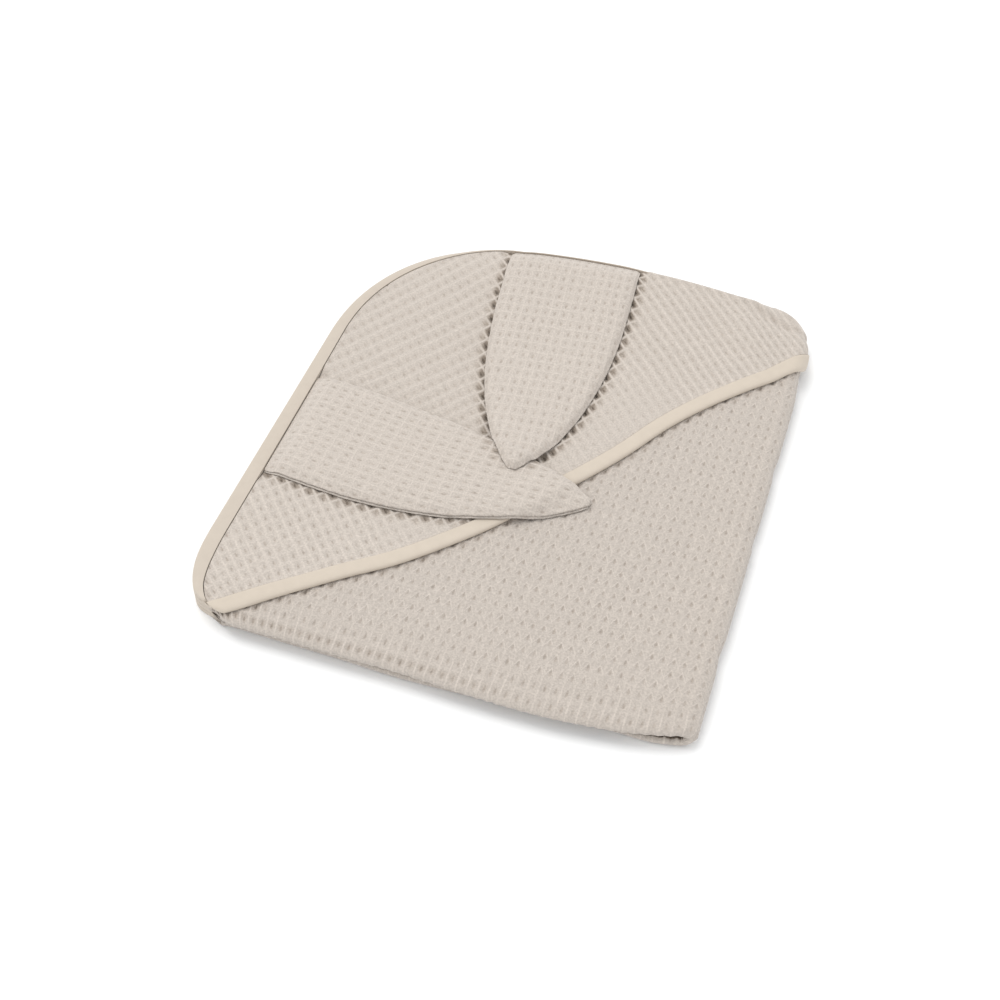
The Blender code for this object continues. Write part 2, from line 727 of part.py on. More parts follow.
def hood_panel():
    """The hood, in columns from its hem to the bound edges, on over the right fold."""
    inner = EAR_SEAM_LINE
    end_y = inner[-1][1]
    first_x = inner[0][0]
    last_x = HEM_UPPER_LINE[-1][0] - HOOD_SHORT_OF_HEM
    xs = [point[0] for point in inner[LEFT_STEPS:]]
    xs = [first_x] + [x for x in xs if x > first_x + 0.001][:-1]
    step = fold_length() / FOLD_STEPS
    outer = []
    under = []
    for x in xs:
        low = line_y(HEM_UPPER_LINE, x) + HEM_HOOD_GAP
        high = line_y(inner[LEFT_STEPS:], x) if x > first_x else CORNER_START_Y
        column = [mix(low, high, mix(n / HOOD_ROWS, smooth(n / HOOD_ROWS), HOOD_CROWDING))
                  for n in range(HOOD_ROWS + 1)]
        outer.append([on_towel(x, y, SEAT + HOOD_WALL) for y in column])
        under.append([on_towel(x, y, SEAT) for y in column])
    # Round the fold, each column keeps its place on the fold while the fold turns in.
    beyond = -step
    while fold_axis_x(FOLD_CORNER_Y) + beyond < last_x:
        beyond += step
        low = line_y(HEM_UPPER_LINE, PACKET_WIDTH - FOLD_RADIUS + beyond) + HEM_HOOD_GAP
        if low > end_y - HOOD_END_SPAN:
            break
        column = [mix(low, end_y, n / HOOD_ROWS) for n in range(HOOD_ROWS + 1)]
        outer.append([on_towel(fold_axis_x(y) + beyond, y, SEAT + HOOD_WALL) for y in column])
        under.append([on_towel(fold_axis_x(y) + beyond, y, SEAT) for y in column])
    return closed_panel("hood_panel", outer, under, CLOTH_COLOUR)


def hood_hem_binding():
    """The tape folded over the hood's open edge."""
    sections = []
    for low, high in zip(HEM_LINE, HEM_UPPER_LINE):
        section = []
        for across, lift in HEM_SECTION:
            section.append(on_towel(mix(low[0], high[0], across), mix(low[1], high[1], across),
                                    SEAT + HEM_THICKNESS * lift))
        sections.append(section)
    return swept_strip("hood_hem_binding", sections, BINDING_COLOUR)


# ------------------------------------------------------------------ ears
def ear_plan(base, control, tip, inset):
    """Plan points of an ear in rows from its base to its tip, and how near each is to a rim."""
    length = math.dist(base, tip)
    rows = []
    shifts = []
    for r in range(EAR_ROWS + 1):
        a = crowded(r / EAR_ROWS) * (1.0 - EAR_TIP_GAP - inset / length)
        x, y = (mix(mix(p, q, a), mix(q, s, a), a) for p, q, s in zip(base, control, tip))
        dx, dy = (mix(q - p, s - q, a) for p, q, s in zip(base, control, tip))
        scale = math.hypot(dx, dy)
        half = EAR_HALF_WIDTH * (1.0 - a ** EAR_TAPER) - inset
        row = []
        for c in range(EAR_COLUMNS + 1):
            across = math.sin(0.5 * math.pi * (2.0 * c / EAR_COLUMNS - 1.0))
            rim = min(half * (1.0 - abs(across)), (1.0 - a) * length)
            px = x - dy / scale * half * across
            py = y + dx / scale * half * across
            # The base follows the seam of the bound edge, and the rows behind it even that out.
            if r == 0:
                seam_x, seam_y = nearest_on(EAR_SEAM_LINE, px, py)
                shifts.append((seam_x - px, seam_y - py))
            fade = max(1.0 - a / EAR_BASE_BLEND, 0.0) ** 2
            row.append((px + shifts[c][0] * fade, py + shifts[c][1] * fade, rim))
        rows.append(row)
    return rows


def ear_outline(base, control, tip):
    """The ear's outline, base to tip and back, anticlockwise as seen from above."""
    rows = ear_plan(base, control, tip, 0.0)
    near = [row[0][:2] for row in rows]
    far = [row[-1][:2] for row in rows]
    return near + far[::-1] + [near[0]]


LEFT_EAR_OUTLINE = ear_outline(*EARS[0][1:])


def panel_wall(rim):
    return mix(EAR_RIM_WALL, EAR_WALL, smooth(rim / EAR_RIM_SPAN))


def under_ears(x, y):
    """Height of what the ears lie on: towel, hem tape or hood."""
    return core_top(x, y) + hood_cover(x, y)


def hood_cover(x, y):
    """Thickness over the towel of the hood and its hem tape, sloped where cloth bridges it."""
    inside, _ = side_of(HEM_LINE, x, y)
    cover = (HEM_THICKNESS + SEAT) * smooth((inside + COVER_SLOPE) / (COVER_SLOPE - 0.001))
    return cover - (HEM_THICKNESS - HOOD_WALL) * smooth((inside - COVER_STEP) / COVER_STEP_SPAN)


def left_ear_cover(x, y):
    """Thickness of the left ear, sloped off beyond its rim, for the right ear that crosses it."""
    inside, _ = side_of(LEFT_EAR_OUTLINE, x, y)
    full = 2.0 * EAR_WALL + EAR_PUFF + 2.0 * SEAT
    thin = 2.0 * EAR_RIM_WALL + 2.0 * SEAT
    cover = mix(thin, full, smooth(inside / EAR_RIM_SPAN))
    return cover * smooth((inside + CROSSING_SLOPE) / (CROSSING_SLOPE - 0.002))


def ear_pair(name, base, control, tip):
    """The two panels of one ear, the back one on what the ear lies on."""
    crosses = name == "ear_right"

    def seat(x, y):
        height = under_ears(x, y) + EAR_SEAT
        if crosses:
            height += left_ear_cover(x, y)
        return height

    back_low = []
    back_high = []
    for row in ear_plan(base, control, tip, 0.0):
        back_low.append([(x, y, seat(x, y)) for x, y, rim in row])
        back_high.append([(x, y, seat(x, y) + panel_wall(rim)) for x, y, rim in row])
    front_low = []
    front_high = []
    for row in ear_plan(base, control, tip, EAR_FRONT_INSET):
        low_row = []
        high_row = []
        for x, y, rim in row:
            low = seat(x, y) + panel_wall(rim + EAR_FRONT_INSET) + SEAT
            puff = EAR_PUFF * smooth(rim / (3.0 * EAR_RIM_SPAN))
            low_row.append((x, y, low))
            high_row.append((x, y, low + panel_wall(rim) + puff))
        front_low.append(low_row)
        front_high.append(high_row)
    return [closed_panel(name + "_back", back_high, back_low, CLOTH_COLOUR),
            closed_panel(name + "_front", front_high, front_low, CLOTH_COLOUR)]


# ------------------------------------------------------------------ the whole wrap
def as_folded(x, y, z):
    """A point moved in plan, so that the rolls and the front left corner lie as folded."""
    upper, lower = row_at(FRONT_LINE, x)
    back = mix(lower, upper, smooth((z - ROLL_SPLIT_LOW) / (ROLL_SPLIT_HIGH - ROLL_SPLIT_LOW)))
    from_left = min(max(x / FRONT_FADE_SPAN, 0.0), 1.0)
    fade = 1.0 - y / mix(FRONT_FADE_SPAN_LEFT, FRONT_FADE_SPAN, from_left)
    pull = max(1.0 - y / LEFT_PULL_DEPTH, 0.0) ** LEFT_PULL_POWER
    pull *= math.exp(-max(x, 0.0) / LEFT_PULL_REACH)
    squeeze = smooth(x / BINDING_WIDTH) * (1.0 - smooth(y / TAPE_SQUEEZE_DEPTH))
    squeeze *= math.exp(-max(x - BINDING_WIDTH, 0.0) / TAPE_SQUEEZE_REACH)
    return x + LEFT_PULL * pull - TAPE_SQUEEZE * squeeze, y + back * max(fade, 0.0)


def lay_as_folded(things):
    for thing in things:
        for vertex in thing.data.vertices:
            vertex.co.x, vertex.co.y = as_folded(*vertex.co)


def centre_on_origin(things):
    """Moves every mesh so that the packet's middle is over the origin and it stands on z = 0."""
    corners = [vertex.co for thing in things for vertex in thing.data.vertices]
    shift_x = -0.5 * (min(c.x for c in corners) + max(c.x for c in corners))
    shift_y = -0.5 * (min(c.y for c in corners) + max(c.y for c in corners))
    for thing in things:
        for vertex in thing.data.vertices:
            vertex.co.x += shift_x
            vertex.co.y += shift_y


def build():
    for thing in list(bpy.data.objects):
        bpy.data.objects.remove(thing, do_unlink=True)
    things = [towel_body()]
    for order, (name, front, run, fold) in enumerate(BOUND_EDGES):
        things.append(edge_binding(order, name, front, run, fold))
    things.append(hood_panel())
    things.append(hood_hem_binding())
    for name, base, control, tip in EARS:
        things.extend(ear_pair(name, base, control, tip))
    lay_as_folded(things)
    centre_on_origin(things)


build()
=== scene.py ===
"""The looks of a hooded bath wrap, folded in four: waffle cloth as thin shells, and smooth tapes.

Each piece of cloth is laid out flat in a plan, cut to its outline and bent onto the packet. The
plan is that of the unrolled top: x runs from the packet's left edge to the right, round the
right fold and back underneath, and y from the front to the back. In front of ROLL_LINE the
towel's y runs on round the front roll. Metres; the plan starts at the front left corner.
"""

import math

import bpy
import bmesh
import numpy as np
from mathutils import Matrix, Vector
from mathutils.geometry import delaunay_2d_cdt


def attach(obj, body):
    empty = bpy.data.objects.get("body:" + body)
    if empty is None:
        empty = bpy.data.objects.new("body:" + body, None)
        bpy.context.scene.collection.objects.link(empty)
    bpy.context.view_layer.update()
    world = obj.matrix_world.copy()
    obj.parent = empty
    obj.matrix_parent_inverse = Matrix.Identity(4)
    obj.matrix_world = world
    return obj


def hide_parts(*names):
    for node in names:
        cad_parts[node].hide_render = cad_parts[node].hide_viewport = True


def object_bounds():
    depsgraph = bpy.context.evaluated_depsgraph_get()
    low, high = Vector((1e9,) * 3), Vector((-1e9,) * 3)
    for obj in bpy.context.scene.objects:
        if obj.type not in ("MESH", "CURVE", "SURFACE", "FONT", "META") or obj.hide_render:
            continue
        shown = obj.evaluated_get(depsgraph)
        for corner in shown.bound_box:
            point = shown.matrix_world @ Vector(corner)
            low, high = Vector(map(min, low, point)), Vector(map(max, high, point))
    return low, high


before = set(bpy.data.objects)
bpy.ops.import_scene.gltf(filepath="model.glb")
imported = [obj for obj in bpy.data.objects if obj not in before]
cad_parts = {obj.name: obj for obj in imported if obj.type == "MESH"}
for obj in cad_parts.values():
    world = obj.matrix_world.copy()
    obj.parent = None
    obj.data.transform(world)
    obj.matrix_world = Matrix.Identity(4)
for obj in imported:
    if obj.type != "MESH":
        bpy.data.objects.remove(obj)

CAD_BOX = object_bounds()

# ---- the packet, as in the solids
PACKET_WIDTH = 0.340
BACK_CREST_Y = 0.4070
BACK_CREST_X = 0.196
BACK_BOW = 0.0150
BACK_BOW_SPAN = 0.122
CORNER_START_Y = 0.270
CORNER_SPAN_X = 0.110
CORNER_POWER = 2.1

CORE_HEIGHT = 0.0160
CORE_EDGE_HEIGHT = 0.0137
FRONT_DROP = 0.0016
FRONT_DROP_SPAN = 0.034
LEFT_SLOPE_SPAN = 0.045
BACK_SLOPE_SPAN = 0.022
DOME_HEIGHT = 0.0075
DOME_SPAN = 0.075
DOME_LEFT = (0.010, 0.130)
DOME_RIGHT = (0.290, 0.345)
DOME_RIGHT_SHARE = 0.80
BACK_RISE = 0.0085

ROLL_RADIUS = 0.0050
ROLL_LINE = 0.0080
ROLL_SPLIT = (0.0058, 0.0086)
FOLD_RADIUS = 0.0100
FOLD_CORNER_Y = 0.352
FOLD_CORNER_X = 0.308
FOLD_CORNER_SPAN_X = 0.032
FOLD_CORNER_SPAN_Y = 0.0420
FOLD_CORNER_TURN = 0.999
FOLD_END_SQUEEZE = 0.40
SETTLE_ROUNDS = 30

SEAM = 0.0003
SEAT = 0.00045
BINDING_WIDTH = 0.0110
STEEPEST_TAPE = 0.75
CORNER_NARROW = 0.36  # the binding shows less round the back left corner
CORNER_NARROW_AT = 0.55
CORNER_NARROW_SPAN = 0.55
HOOD_WALL = 0.0022
HEM_THICKNESS = 0.0030
HEM_ROOM = HEM_THICKNESS + SEAT + SEAM
FOLD_RECESS = 0.0023
HEM_FOLD_Y = 0.344
FOLD_RECESS_Y = (0.304, HEM_FOLD_Y)
HEM_HOOD_GAP = 0.0002
COVER_SLOPE = (-0.012, -0.001)
COVER_STEP = (0.013, 0.021)
ROOM_SLOPE = (-0.012, -0.002)
HOOD_SHORT_OF_HEM = 0.002
UNDERSIDE_ROOM_Y = 0.030
UNDERSIDE_ROOM_X = 0.090

EAR_HALF_WIDTH = 0.0500
EAR_TAPER = 2.85
EAR_ROUNDING = 0.84
EAR_WALL = 0.0020
EAR_RIM_WALL = 0.0010
EAR_RIM_SPAN = 0.007
EAR_PUFF = 0.0010
EAR_PUFF_SPAN = 0.021
EAR_FRONT_INSET = 0.0009
EAR_SEAT = 0.0008
EAR_BASE_BLEND = 0.30
EAR_TIP_GAP = 0.012
CROSSING_SLOPE = (-0.024, -0.002)

BOUND_EDGES = (
    # node              front             run               fold
    ("edge_binding_1", (0.0000, 0.0037), (0.0000, 0.0037), (0.0000, 0.0049)),
    ("edge_binding_2", (0.0040, 0.0077), (0.0040, 0.0077), (0.0052, 0.0083)),
    ("edge_binding_3", (0.0080, 0.0123), (0.0080, 0.0117), (0.0086, 0.0117)),
    ("edge_binding_4", (0.0126, 0.0169), (0.0120, 0.0169), (0.0120, 0.0169)),
)
EDGE_STACK = 0.0169
LEVEL_BLEND_FRONT = 0.035
LEVEL_BLEND_FOLD = 0.060

FRONT_LINE = np.array((
    # x       upper    lower
    (0.0000, 0.0070, 0.0070),
    (0.0120, 0.0048, 0.0048),
    (0.0180, 0.0038, 0.0050),
    (0.0320, 0.0014, 0.0054),
    (0.0700, 0.0008, 0.0043),
    (0.1100, 0.0000, 0.0033),
    (0.1550, -0.0005, 0.0014),
    (0.2050, -0.0030, 0.0022),
    (0.2500, -0.0034, 0.0026),
    (0.2900, -0.0002, 0.0050),
    (0.3120, 0.0038, 0.0046),
    (0.3260, 0.0075, 0.0066),
    (0.3400, 0.0120, 0.0102),
))
FRONT_FADE_SPAN = 0.040
FRONT_FADE_SPAN_LEFT = 0.016
LEFT_PULL = 0.027
LEFT_PULL_DEPTH = 0.075
LEFT_PULL_POWER = 3.3
LEFT_PULL_REACH = 0.045
TAPE_SQUEEZE = 0.0028
TAPE_SQUEEZE_DEPTH = 0.050
TAPE_SQUEEZE_REACH = 0.030
CORNER_TUCK = 0.0085  # at the front left corner the lower layers lie further in
CORNER_TUCK_Y = 0.0120
CORNER_TUCK_REACH = 0.018
CORNER_TUCK_Z = (0.0160, 0.0125)

HEM = (
    # x       y       width
    (0.0122, 0.0036, 0.0032),
    (0.0200, 0.0036, 0.0066),
    (0.0304, 0.0055, 0.0096),
    (0.0500, 0.0160, 0.0110),
    (0.0762, 0.0354, 0.0110),
    (0.1016, 0.0553, 0.0110),
    (0.1269, 0.0742, 0.0110),
    (0.1512, 0.0973, 0.0110),
    (0.1752, 0.1234, 0.0110),
    (0.2000, 0.1560, 0.0110),
    (0.2253, 0.1901, 0.0110),
    (0.2432, 0.2168, 0.0110),
    (0.2608, 0.2470, 0.0110),
    (0.2801, 0.2733, 0.0110),
    (0.3008, 0.2961, 0.0110),
    (0.3223, 0.3173, 0.0110),
    (0.3430, HEM_FOLD_Y, 0.0110),
    (0.3565, 0.3605, 0.0110),
)
HEM_SECTION = np.array((  # across the tape and up, as shares of its width and thickness
    (0.0, 0.28), (0.01, 0.14), (0.05, 0.06), (0.12, 0.04), (0.25, 0.06), (0.4, 0.1), (0.55, 0.1),
    (0.7, 0.1), (0.85, 0.1), (1.0, 0.1), (1.0, 0.6), (0.99, 0.8), (0.97, 0.93), (0.92, 1.0),
    (0.8, 1.0), (0.65, 1.0), (0.5, 1.0), (0.35, 1.0), (0.2, 0.96), (0.1, 0.84), (0.04, 0.66),
    (0.01, 0.46)))
EARS = {
    # ear          base              control           tip
    "ear_left": ((0.0140, 0.1740), (0.1180, 0.1520), (0.2340, 0.1645)),
    "ear_right": ((0.1525, 0.3890), (0.1640, 0.2800), (0.1735, 0.1680)),
}
ROW_CROWDING = 1.3

# ---- the cloth
CELL_SHORT = 0.0069  # pitch of the waffle's ribs, across and along
CELL_LONG = 0.0093
CELL_STEPS = 8  # grid lines in a cell, across and along
CELL_ROWS = 6
UNDERSIDE_STEPS = 3
FRONT_STRETCH = 0.0062  # the towel's cells are longer near its front
FRONT_STRETCH_CELLS = 3.5
PIT_DEPTH = 0.0009
EAR_PIT_SHARE = 0.90  # the ears' pits are shallower
PIT_FLOOR = 0.0004  # cloth left under the deepest pit
PIT_FADE = 0.0012  # pits are full this far in from an edge
RIB_POWER = 3.0
HOLE_SHARE = 0.65  # share of a pit that is its narrow hole
HOLE_WIDTH = 0.50
HOLE_LENGTH = 0.80
HOLE_LEAN = 0.70  # a hole is wider at one end of its cell
CELL_CHANCE = 0.35  # how uneven the pits are

# Over these cells the hood's pits run together into furrows, or the other way into rows, or the
# waffle is faint. Each pair is a soft start and its end: two along the hem, and one away from it.
FURROWS = (46.0, 54.0)
ROWS = ((18.0, 26.0), (46.0, 40.0), (2.0, 6.0))
FAINT = ((16.0, 24.0), (58.0, 48.0), (4.0, -1.0))
FAINT_SHARE = 0.55
FURROW_DEPTH = 0.65
# FURROW_DARKENS is painted shade along the furrows and rows.
FURROW_DARKENS = 0.04
FURROW_WAVE = 0.45
RIB_WANDER = 0.0005  # how far the ribs stray, and over what length
RIB_WANDER_SPAN = 0.022
SHELL = 0.0021  # thickness of a thin shell
ROLL_LENGTH = 0.0135  # cloth round one front roll
GROOVE_DEPTH = 0.0060  # and in the groove between the rolls
GROOVE_SHADE = 3.0  # painted shade in there, and between which y it sets in
GROOVE_Y = (-0.0062, -0.0082)
MOUTH_GAP = 0.0006  # the rolls gape by this, twice, near their right end
MOUTH_LEFT = (0.240, 0.262)
MOUTH_RIGHT = (0.428, 0.406)
BEHIND_HEM = 0.016  # the towel's cloth ends this far under the hood
BEHIND_HOOD_END = 0.010  # and this far under its end
BEHIND_ROLL_LINE = 1e-5  # its left rim is measured from this far behind the roll
MERGE_CLOTH = 2e-5  # points closer than this are one
MERGE_TAPE = 1e-6
MERGE_PLAN = 1e-7
SHARP_CLOTH = 60.0  # edges that turn by more degrees are sharp
SHARP_TAPE = 50.0
NO_REACH = 1e-9  # these keep what is divided by, or compared with, above 0
NO_SLOPE = 1e-12
TOWEL_SEEDS = (11, 21)  # of the ribs' straying and of the pits' unevenness
HOOD_SEEDS = (12, 22)
EAR_SEED = 31  # and more for the next ear, and for a panel's rim
NEXT_EAR_SEED = 10
RIM_SEED = 5
NOISE_SIZE = 256

TOWEL_ROWS = (-2, 44)  # the first and last cell of each cloth's grid
HOOD_COLUMNS = (-1, 75)
HOOD_ROWS = (-14, 22)
EAR_COLUMNS = (-9, 9)
EAR_LINES = (-3, 28)

# Where the shells' inner sides are carried: steps of x and of y, and how far inside the cut.
TOWEL_CARRIED_AT = (((0.015, 0.325, 0.010), (0.325, 0.360, 0.0025), (0.360, 0.680, 0.010)),
                    ((-0.0115, 0.008, 0.0015), (0.008, 0.41, 0.010)), 0.0012)
HOOD_CARRIED_AT = (((0.012, 0.320, 0.008), (0.320, 0.360, 0.0025)),
                   ((0.012, 0.36, 0.008), (0.360, 0.41, 0.004)), 0.002)
EAR_CARRIED_AT = (((0.0, 0.34, 0.004),), ((0.1, 0.41, 0.004),), 0.002)

# The hood is cut on the bias and pulled out of square: its ribs turn along its hem.
HOOD_GRAIN = np.array((
    # cell  degrees  pitch
    (0.0, 44.0, 0.0066),
    (20.0, 45.0, 0.0069),
    (27.0, 53.0, 0.0075),
    (50.0, 56.0, 0.0075),
    (56.0, 36.0, 0.0067),
    (62.0, 29.0, 0.0063),
    (74.0, 25.0, 0.0059),
))
HOOD_GRAIN_START = (0.015, 0.007)
GRAIN_STEP = 0.05  # of a cell
GRAIN_MARGIN = 2.0
HOOD_RIBS = math.radians(131.5)
HOOD_CELL_LONG = 0.0092
HOOD_STRETCH = 0.00006  # its cells get longer away from the hem: times a cell's number squared

# Soft troughs and ridges, pressed into all layers: a line in plan, its depth and half width.
CREASES = (
    # from              to               depth    half width
    ((0.250, 0.382), (0.297, 0.318), -0.0016, 0.0075),
    ((0.272, 0.388), (0.318, 0.330), 0.0007, 0.0080),
    ((0.226, 0.366), (0.262, 0.314), 0.0006, 0.0090),
    ((0.018, 0.101), (0.044, 0.068), 0.0014, 0.0050),
    ((0.008, 0.098), (0.036, 0.058), -0.0010, 0.0050),
    ((0.031, 0.107), (0.058, 0.074), -0.0012, 0.0055),
    ((0.045, 0.116), (0.070, 0.086), 0.0008, 0.0050),
    ((0.070, 0.118), (0.088, 0.098), -0.0006, 0.0060),
    ((0.098, 0.300), (0.140, 0.222), -0.0012, 0.0100),
    ((0.060, 0.300), (0.082, 0.252), 0.0005, 0.0120),
    ((0.200, 0.095), (0.262, 0.112), -0.0005, 0.0100),
    ((0.225, 0.052), (0.300, 0.068), -0.0005, 0.0090),
    ((0.262, 0.178), (0.312, 0.190), 0.0005, 0.0100),
    # round the right fold and underneath
    ((0.322, 0.248), (0.356, 0.238), -0.0010, 0.0080),
    ((0.326, 0.171), (0.352, 0.176), -0.0008, 0.0070),
    ((0.318, 0.082), (0.362, 0.070), -0.0011, 0.0090),
    ((0.420, 0.060), (0.600, 0.118), -0.0012, 0.0100),
    ((0.395, 0.205), (0.520, 0.171), -0.0009, 0.0120),
    ((0.560, 0.330), (0.650, 0.228), -0.0010, 0.0090),
    ((0.452, 0.352), (0.540, 0.296), -0.0007, 0.0110),
)
CREASE_TAPER = 0.35  # share of a crease's length over which it fades at each end
CREASE_FADE = 0.010  # and its fading beside the bound edge
BASE_PRESS = 0.0026  # the seam presses the layers under an ear's base
BASE_PRESS_SPAN = 0.009
BASE_PRESS_SIDE = (0.060, 0.048)
BASE_PRESS_REACH = 0.060

EAR_CELL_STEPS = 10
EAR_CELL_ROWS = 9
EAR_BACK_STEPS = 3
EAR_FINE_POINTS = 200
EAR_BASE_SEAT = 0.0004  # an ear lies closer near the seam that holds it
EAR_BASE_SHARE = 0.45
EAR_BASE = (0.0, 0.016)
EAR_EDGE_SHARE = 0.35  # a panel's thickness at its very rim
EAR_EDGE_SPAN = 0.0012
EAR_WRAP = 0.0018
RIM_WAVE = 0.00022
RIM_WAVE_SPAN = 0.0042

TAPE_FLAT_POINTS = 9
TAPE_NOSE_POINTS = 11
TAPE_NOSE = 0.0016  # length of a tape's rounded edge
TAPE_NOSE_POWER = 0.8
TAPE_FULLNESS = 0.0002  # every tape is crowned by this
TAPE_CROWN = 0.24  # and the top tape by this share of its rise
TUCK = 0.0018  # the top tape is thinner where the hood rolls out over it
TUCK_X = (0.188, 0.228)
TUCK_RISE = (-0.006, 0.0)
TUCK_DOWN = (0.0044, 0.0154)
TUCK_FLAT = 0.85  # the hood's pits are pressed flat there by this share
TUCK_FLAT_OUT = (-0.0072, 0.0008)
CORNER_FILL = 0.0034  # the hood is fullest over the back right corner
CORNER_FILL_X = 0.314
CORNER_FILL_SPAN = 0.024
HOOD_BACK_INSET = 0.0012

# Painted shade in the pits beside a line, which on the towel and the hood also lie wider open: how
# much, and over what distance from the line beside.
SHADE_START = 0.001
HEM_SHADE = (0.30, 0.0022)
LEFT_EAR_SHADE = (0.70, 0.0040)
RIGHT_EAR_SHADE = (1.05, 0.0036)
EARS_CROSS_SHADE = (0.50, 0.0060)
EARS_CROSS_Y = (0.166, 0.186)
EARS_PART_Y = 0.160
FRONT_SHADE = (0.25, 0.0018)
FRONT_SHADE_Y = 0.0066
FRONT_SHADE_X = (0.250, 0.170)

TOWEL_COLOUR = (0.545, 0.484, 0.430)
HOOD_COLOUR = (0.574, 0.510, 0.452)
EAR_COLOUR = (0.578, 0.513, 0.455)
HEM_COLOUR = (0.635, 0.553, 0.462)
BINDING_COLOUR = (0.600, 0.525, 0.445)
YARN = (850.0, 3.0)  # bumps in a metre and their detail: the yarn, the cloth's mottling
PATCHES = (170.0, 2.0)
TAPE_YARN = (850.0, 2.0)
TAPE_PATCHES = (160.0, 4.0)
# Painted shade: PIT_DARKENS darkens the pits, partly for their denser yarn, and SHADE_DARKENS where
# the shade value is set; DARKEST caps all painted darkening.
PIT_DARKENS = 0.16  # what each of these takes from or adds to the cloth's colour
SHADE_DARKENS = 0.50
DARKEST = 0.72
MOTTLING = 0.18
LIGHT_MEAN = 0.4  # painted highlight on the yarns that leaves the colour as it is
PATCH_LEAST = 0.5  # share of the painted highlight in the dullest patch
YARN_STEP = (0.32, 0.68)  # where each of these starts to show, and where it shows in full
PATCH_STEP = (0.36, 0.60)
CROSS_RIB_STEP = (0.80, 0.98)
RIB_FULL = 0.97
HOLE_STEP = (1.0, 0.4)
MOUTH_ACROSS = (0.95, 0.55)
MOUTH_ALONG = (0.95, 0.60)
MOUTH_FILLED = (1.5, 2.5)
VALLEY_STEP = (0.7, 0.2)
RIB_HIDDEN = 0.6  # share of the ribs that a furrow or a row crosses out
RIB_RAISED = 0.1  # and what a row adds to the ribs along it
HOLE_SEEN = (0.58, 0.08, 0.62)  # a hole's painted shade, partly its denser yarn: half width at its wide and narrow end, half length
NO_ROWS = -99.0
ZIGZAG = (0.86, 0.14)  # where in its cell a zigzag yarn passes the middle and the rib
ZIGZAG_YARN = (0.15, 0.03)
ZIGZAG_HIDES = 0.65  # share of the straight yarns
ZIGZAG_ROWS = 2.0  # rows of cells over which the zigzags set in
WARM_SHADE = (1.0, 0.84, 0.68)  # the warm tint of painted shade and darker pits, and a tape's mottling, as shares of the cloth's
TAPE_SHADE = (0.90, 0.90, 0.90)
LIGHT_BUMP = 1.2
HOLE_BUMP = 0.8
WAFFLE_BUMP = (0.5, 0.00035)  # strength and depth
TAPE_BUMP = (0.3, 0.0002)
WAFFLE_FINISH = {"Roughness": 0.95, "Specular IOR Level": 0.15, "Sheen Weight": 0.2,
                 "Sheen Roughness": 0.6}
TAPE_FINISH = {"Roughness": 0.85, "Specular IOR Level": 0.2, "Sheen Weight": 0.15}

SPLINE_STEPS = 24
LEFT_STEPS = 64
LEFT_CROWDING = 1.5  # the left edge's stations stand closer near the front
CORNER_STEPS = 64
BACK_STEPS = 80
STRAIGHT_STATIONS = 20
HEM_STEPS = 150
HEM_FOLD_STEPS = 50
HEM_LEAD = 22
TURN_STEPS = 12
TURN_TAPER = 0.10  # the tapes narrow to this share round the front roll
TURN_TAPER_STEPS = 4
TURN_TAPER_SPAN = 0.0045
TURN_FLATTEN = 0.72
EAR_ROWS = 70
CHUNK = 20000  # points measured against a line at a time


# ---- floor, light and camera
FLOOR_SIZE = 6.0
FLOOR_Z = -0.0001
FLOOR_COLOUR = (0.97, 0.97, 0.97)
ROOM_COLOUR = (0.97, 0.987, 1.0)
ROOM_STRENGTH = 0.96
SUN_ENERGY = 1.10
SUN_COLOUR = (1.0, 0.985, 0.96)
SUN_WIDTH = 38.0  # degrees
SUN_FROM = (-0.45, 0.34, 1.05)
SENSOR = 36.0  # the camera's sensor and lens in millimetres
LENS = 55.8
CAMERA_PITCH = 47.53  # degrees above the floor, and round from the front
CAMERA_AZIMUTH = 18.31
CAMERA_DISTANCE = 1.0521
CAMERA_AIM = (0.1674, 0.1635, 0.0)


# ---- small helpers
def mix(a, b, t):
    return a + (b - a) * t


def smooth(t):
    """0 to 1 with a soft start and end."""
    t = np.clip(t, 0.0, 1.0)
    return t * t * (3.0 - 2.0 * t)


class Value:
    """A number that a material works out at each point, used in sums as any other number."""

    def __init__(self, tree, socket):
        self.tree = tree
        self.socket = socket

    def maths(self, operation, *others):
        inputs = {f"_{k}": value for k, value in enumerate((self, *others))}
        made = node(self.tree, "ShaderNodeMath", {"operation": operation}, **inputs)
        return Value(self.tree, made.outputs[0])

    def ramp(self, low, high):
        made = node(self.tree, "ShaderNodeMapRange", {"interpolation_type": "SMOOTHSTEP"}, _0=self,
                    _1=low, _2=high, _3=0.0, _4=1.0)
        return Value(self.tree, made.outputs[0])

    def __add__(self, other):
        return self.maths("ADD", other)

    def __mul__(self, other):
        return self.maths("MULTIPLY", other)

    def __sub__(self, other):
        return self.maths("SUBTRACT", other)

    def __rsub__(self, other):
        return self * -1.0 + other

    def __truediv__(self, other):
        return self.maths("DIVIDE", other)

    def __pow__(self, other):
        return self.maths("POWER", other)

    def __abs__(self):
        return self.maths("ABSOLUTE")

    __radd__ = __add__
    __rmul__ = __mul__


def ramp(value, low, high):
    """0 at low and 1 at high, softly, of an array or of a material's value."""
    if isinstance(value, Value):
        return value.ramp(low, high)
    return smooth((value - low) / (high - low))


def bell(value, span):
    """1 at nought, falling off over a span to both sides."""
    return np.exp(-(value / span) ** 2)


def ease_out(t):
    """0 to 1, steep at first and level at the end."""
    return 1.0 - (1.0 - np.clip(t, 0.0, 1.0)) ** 2


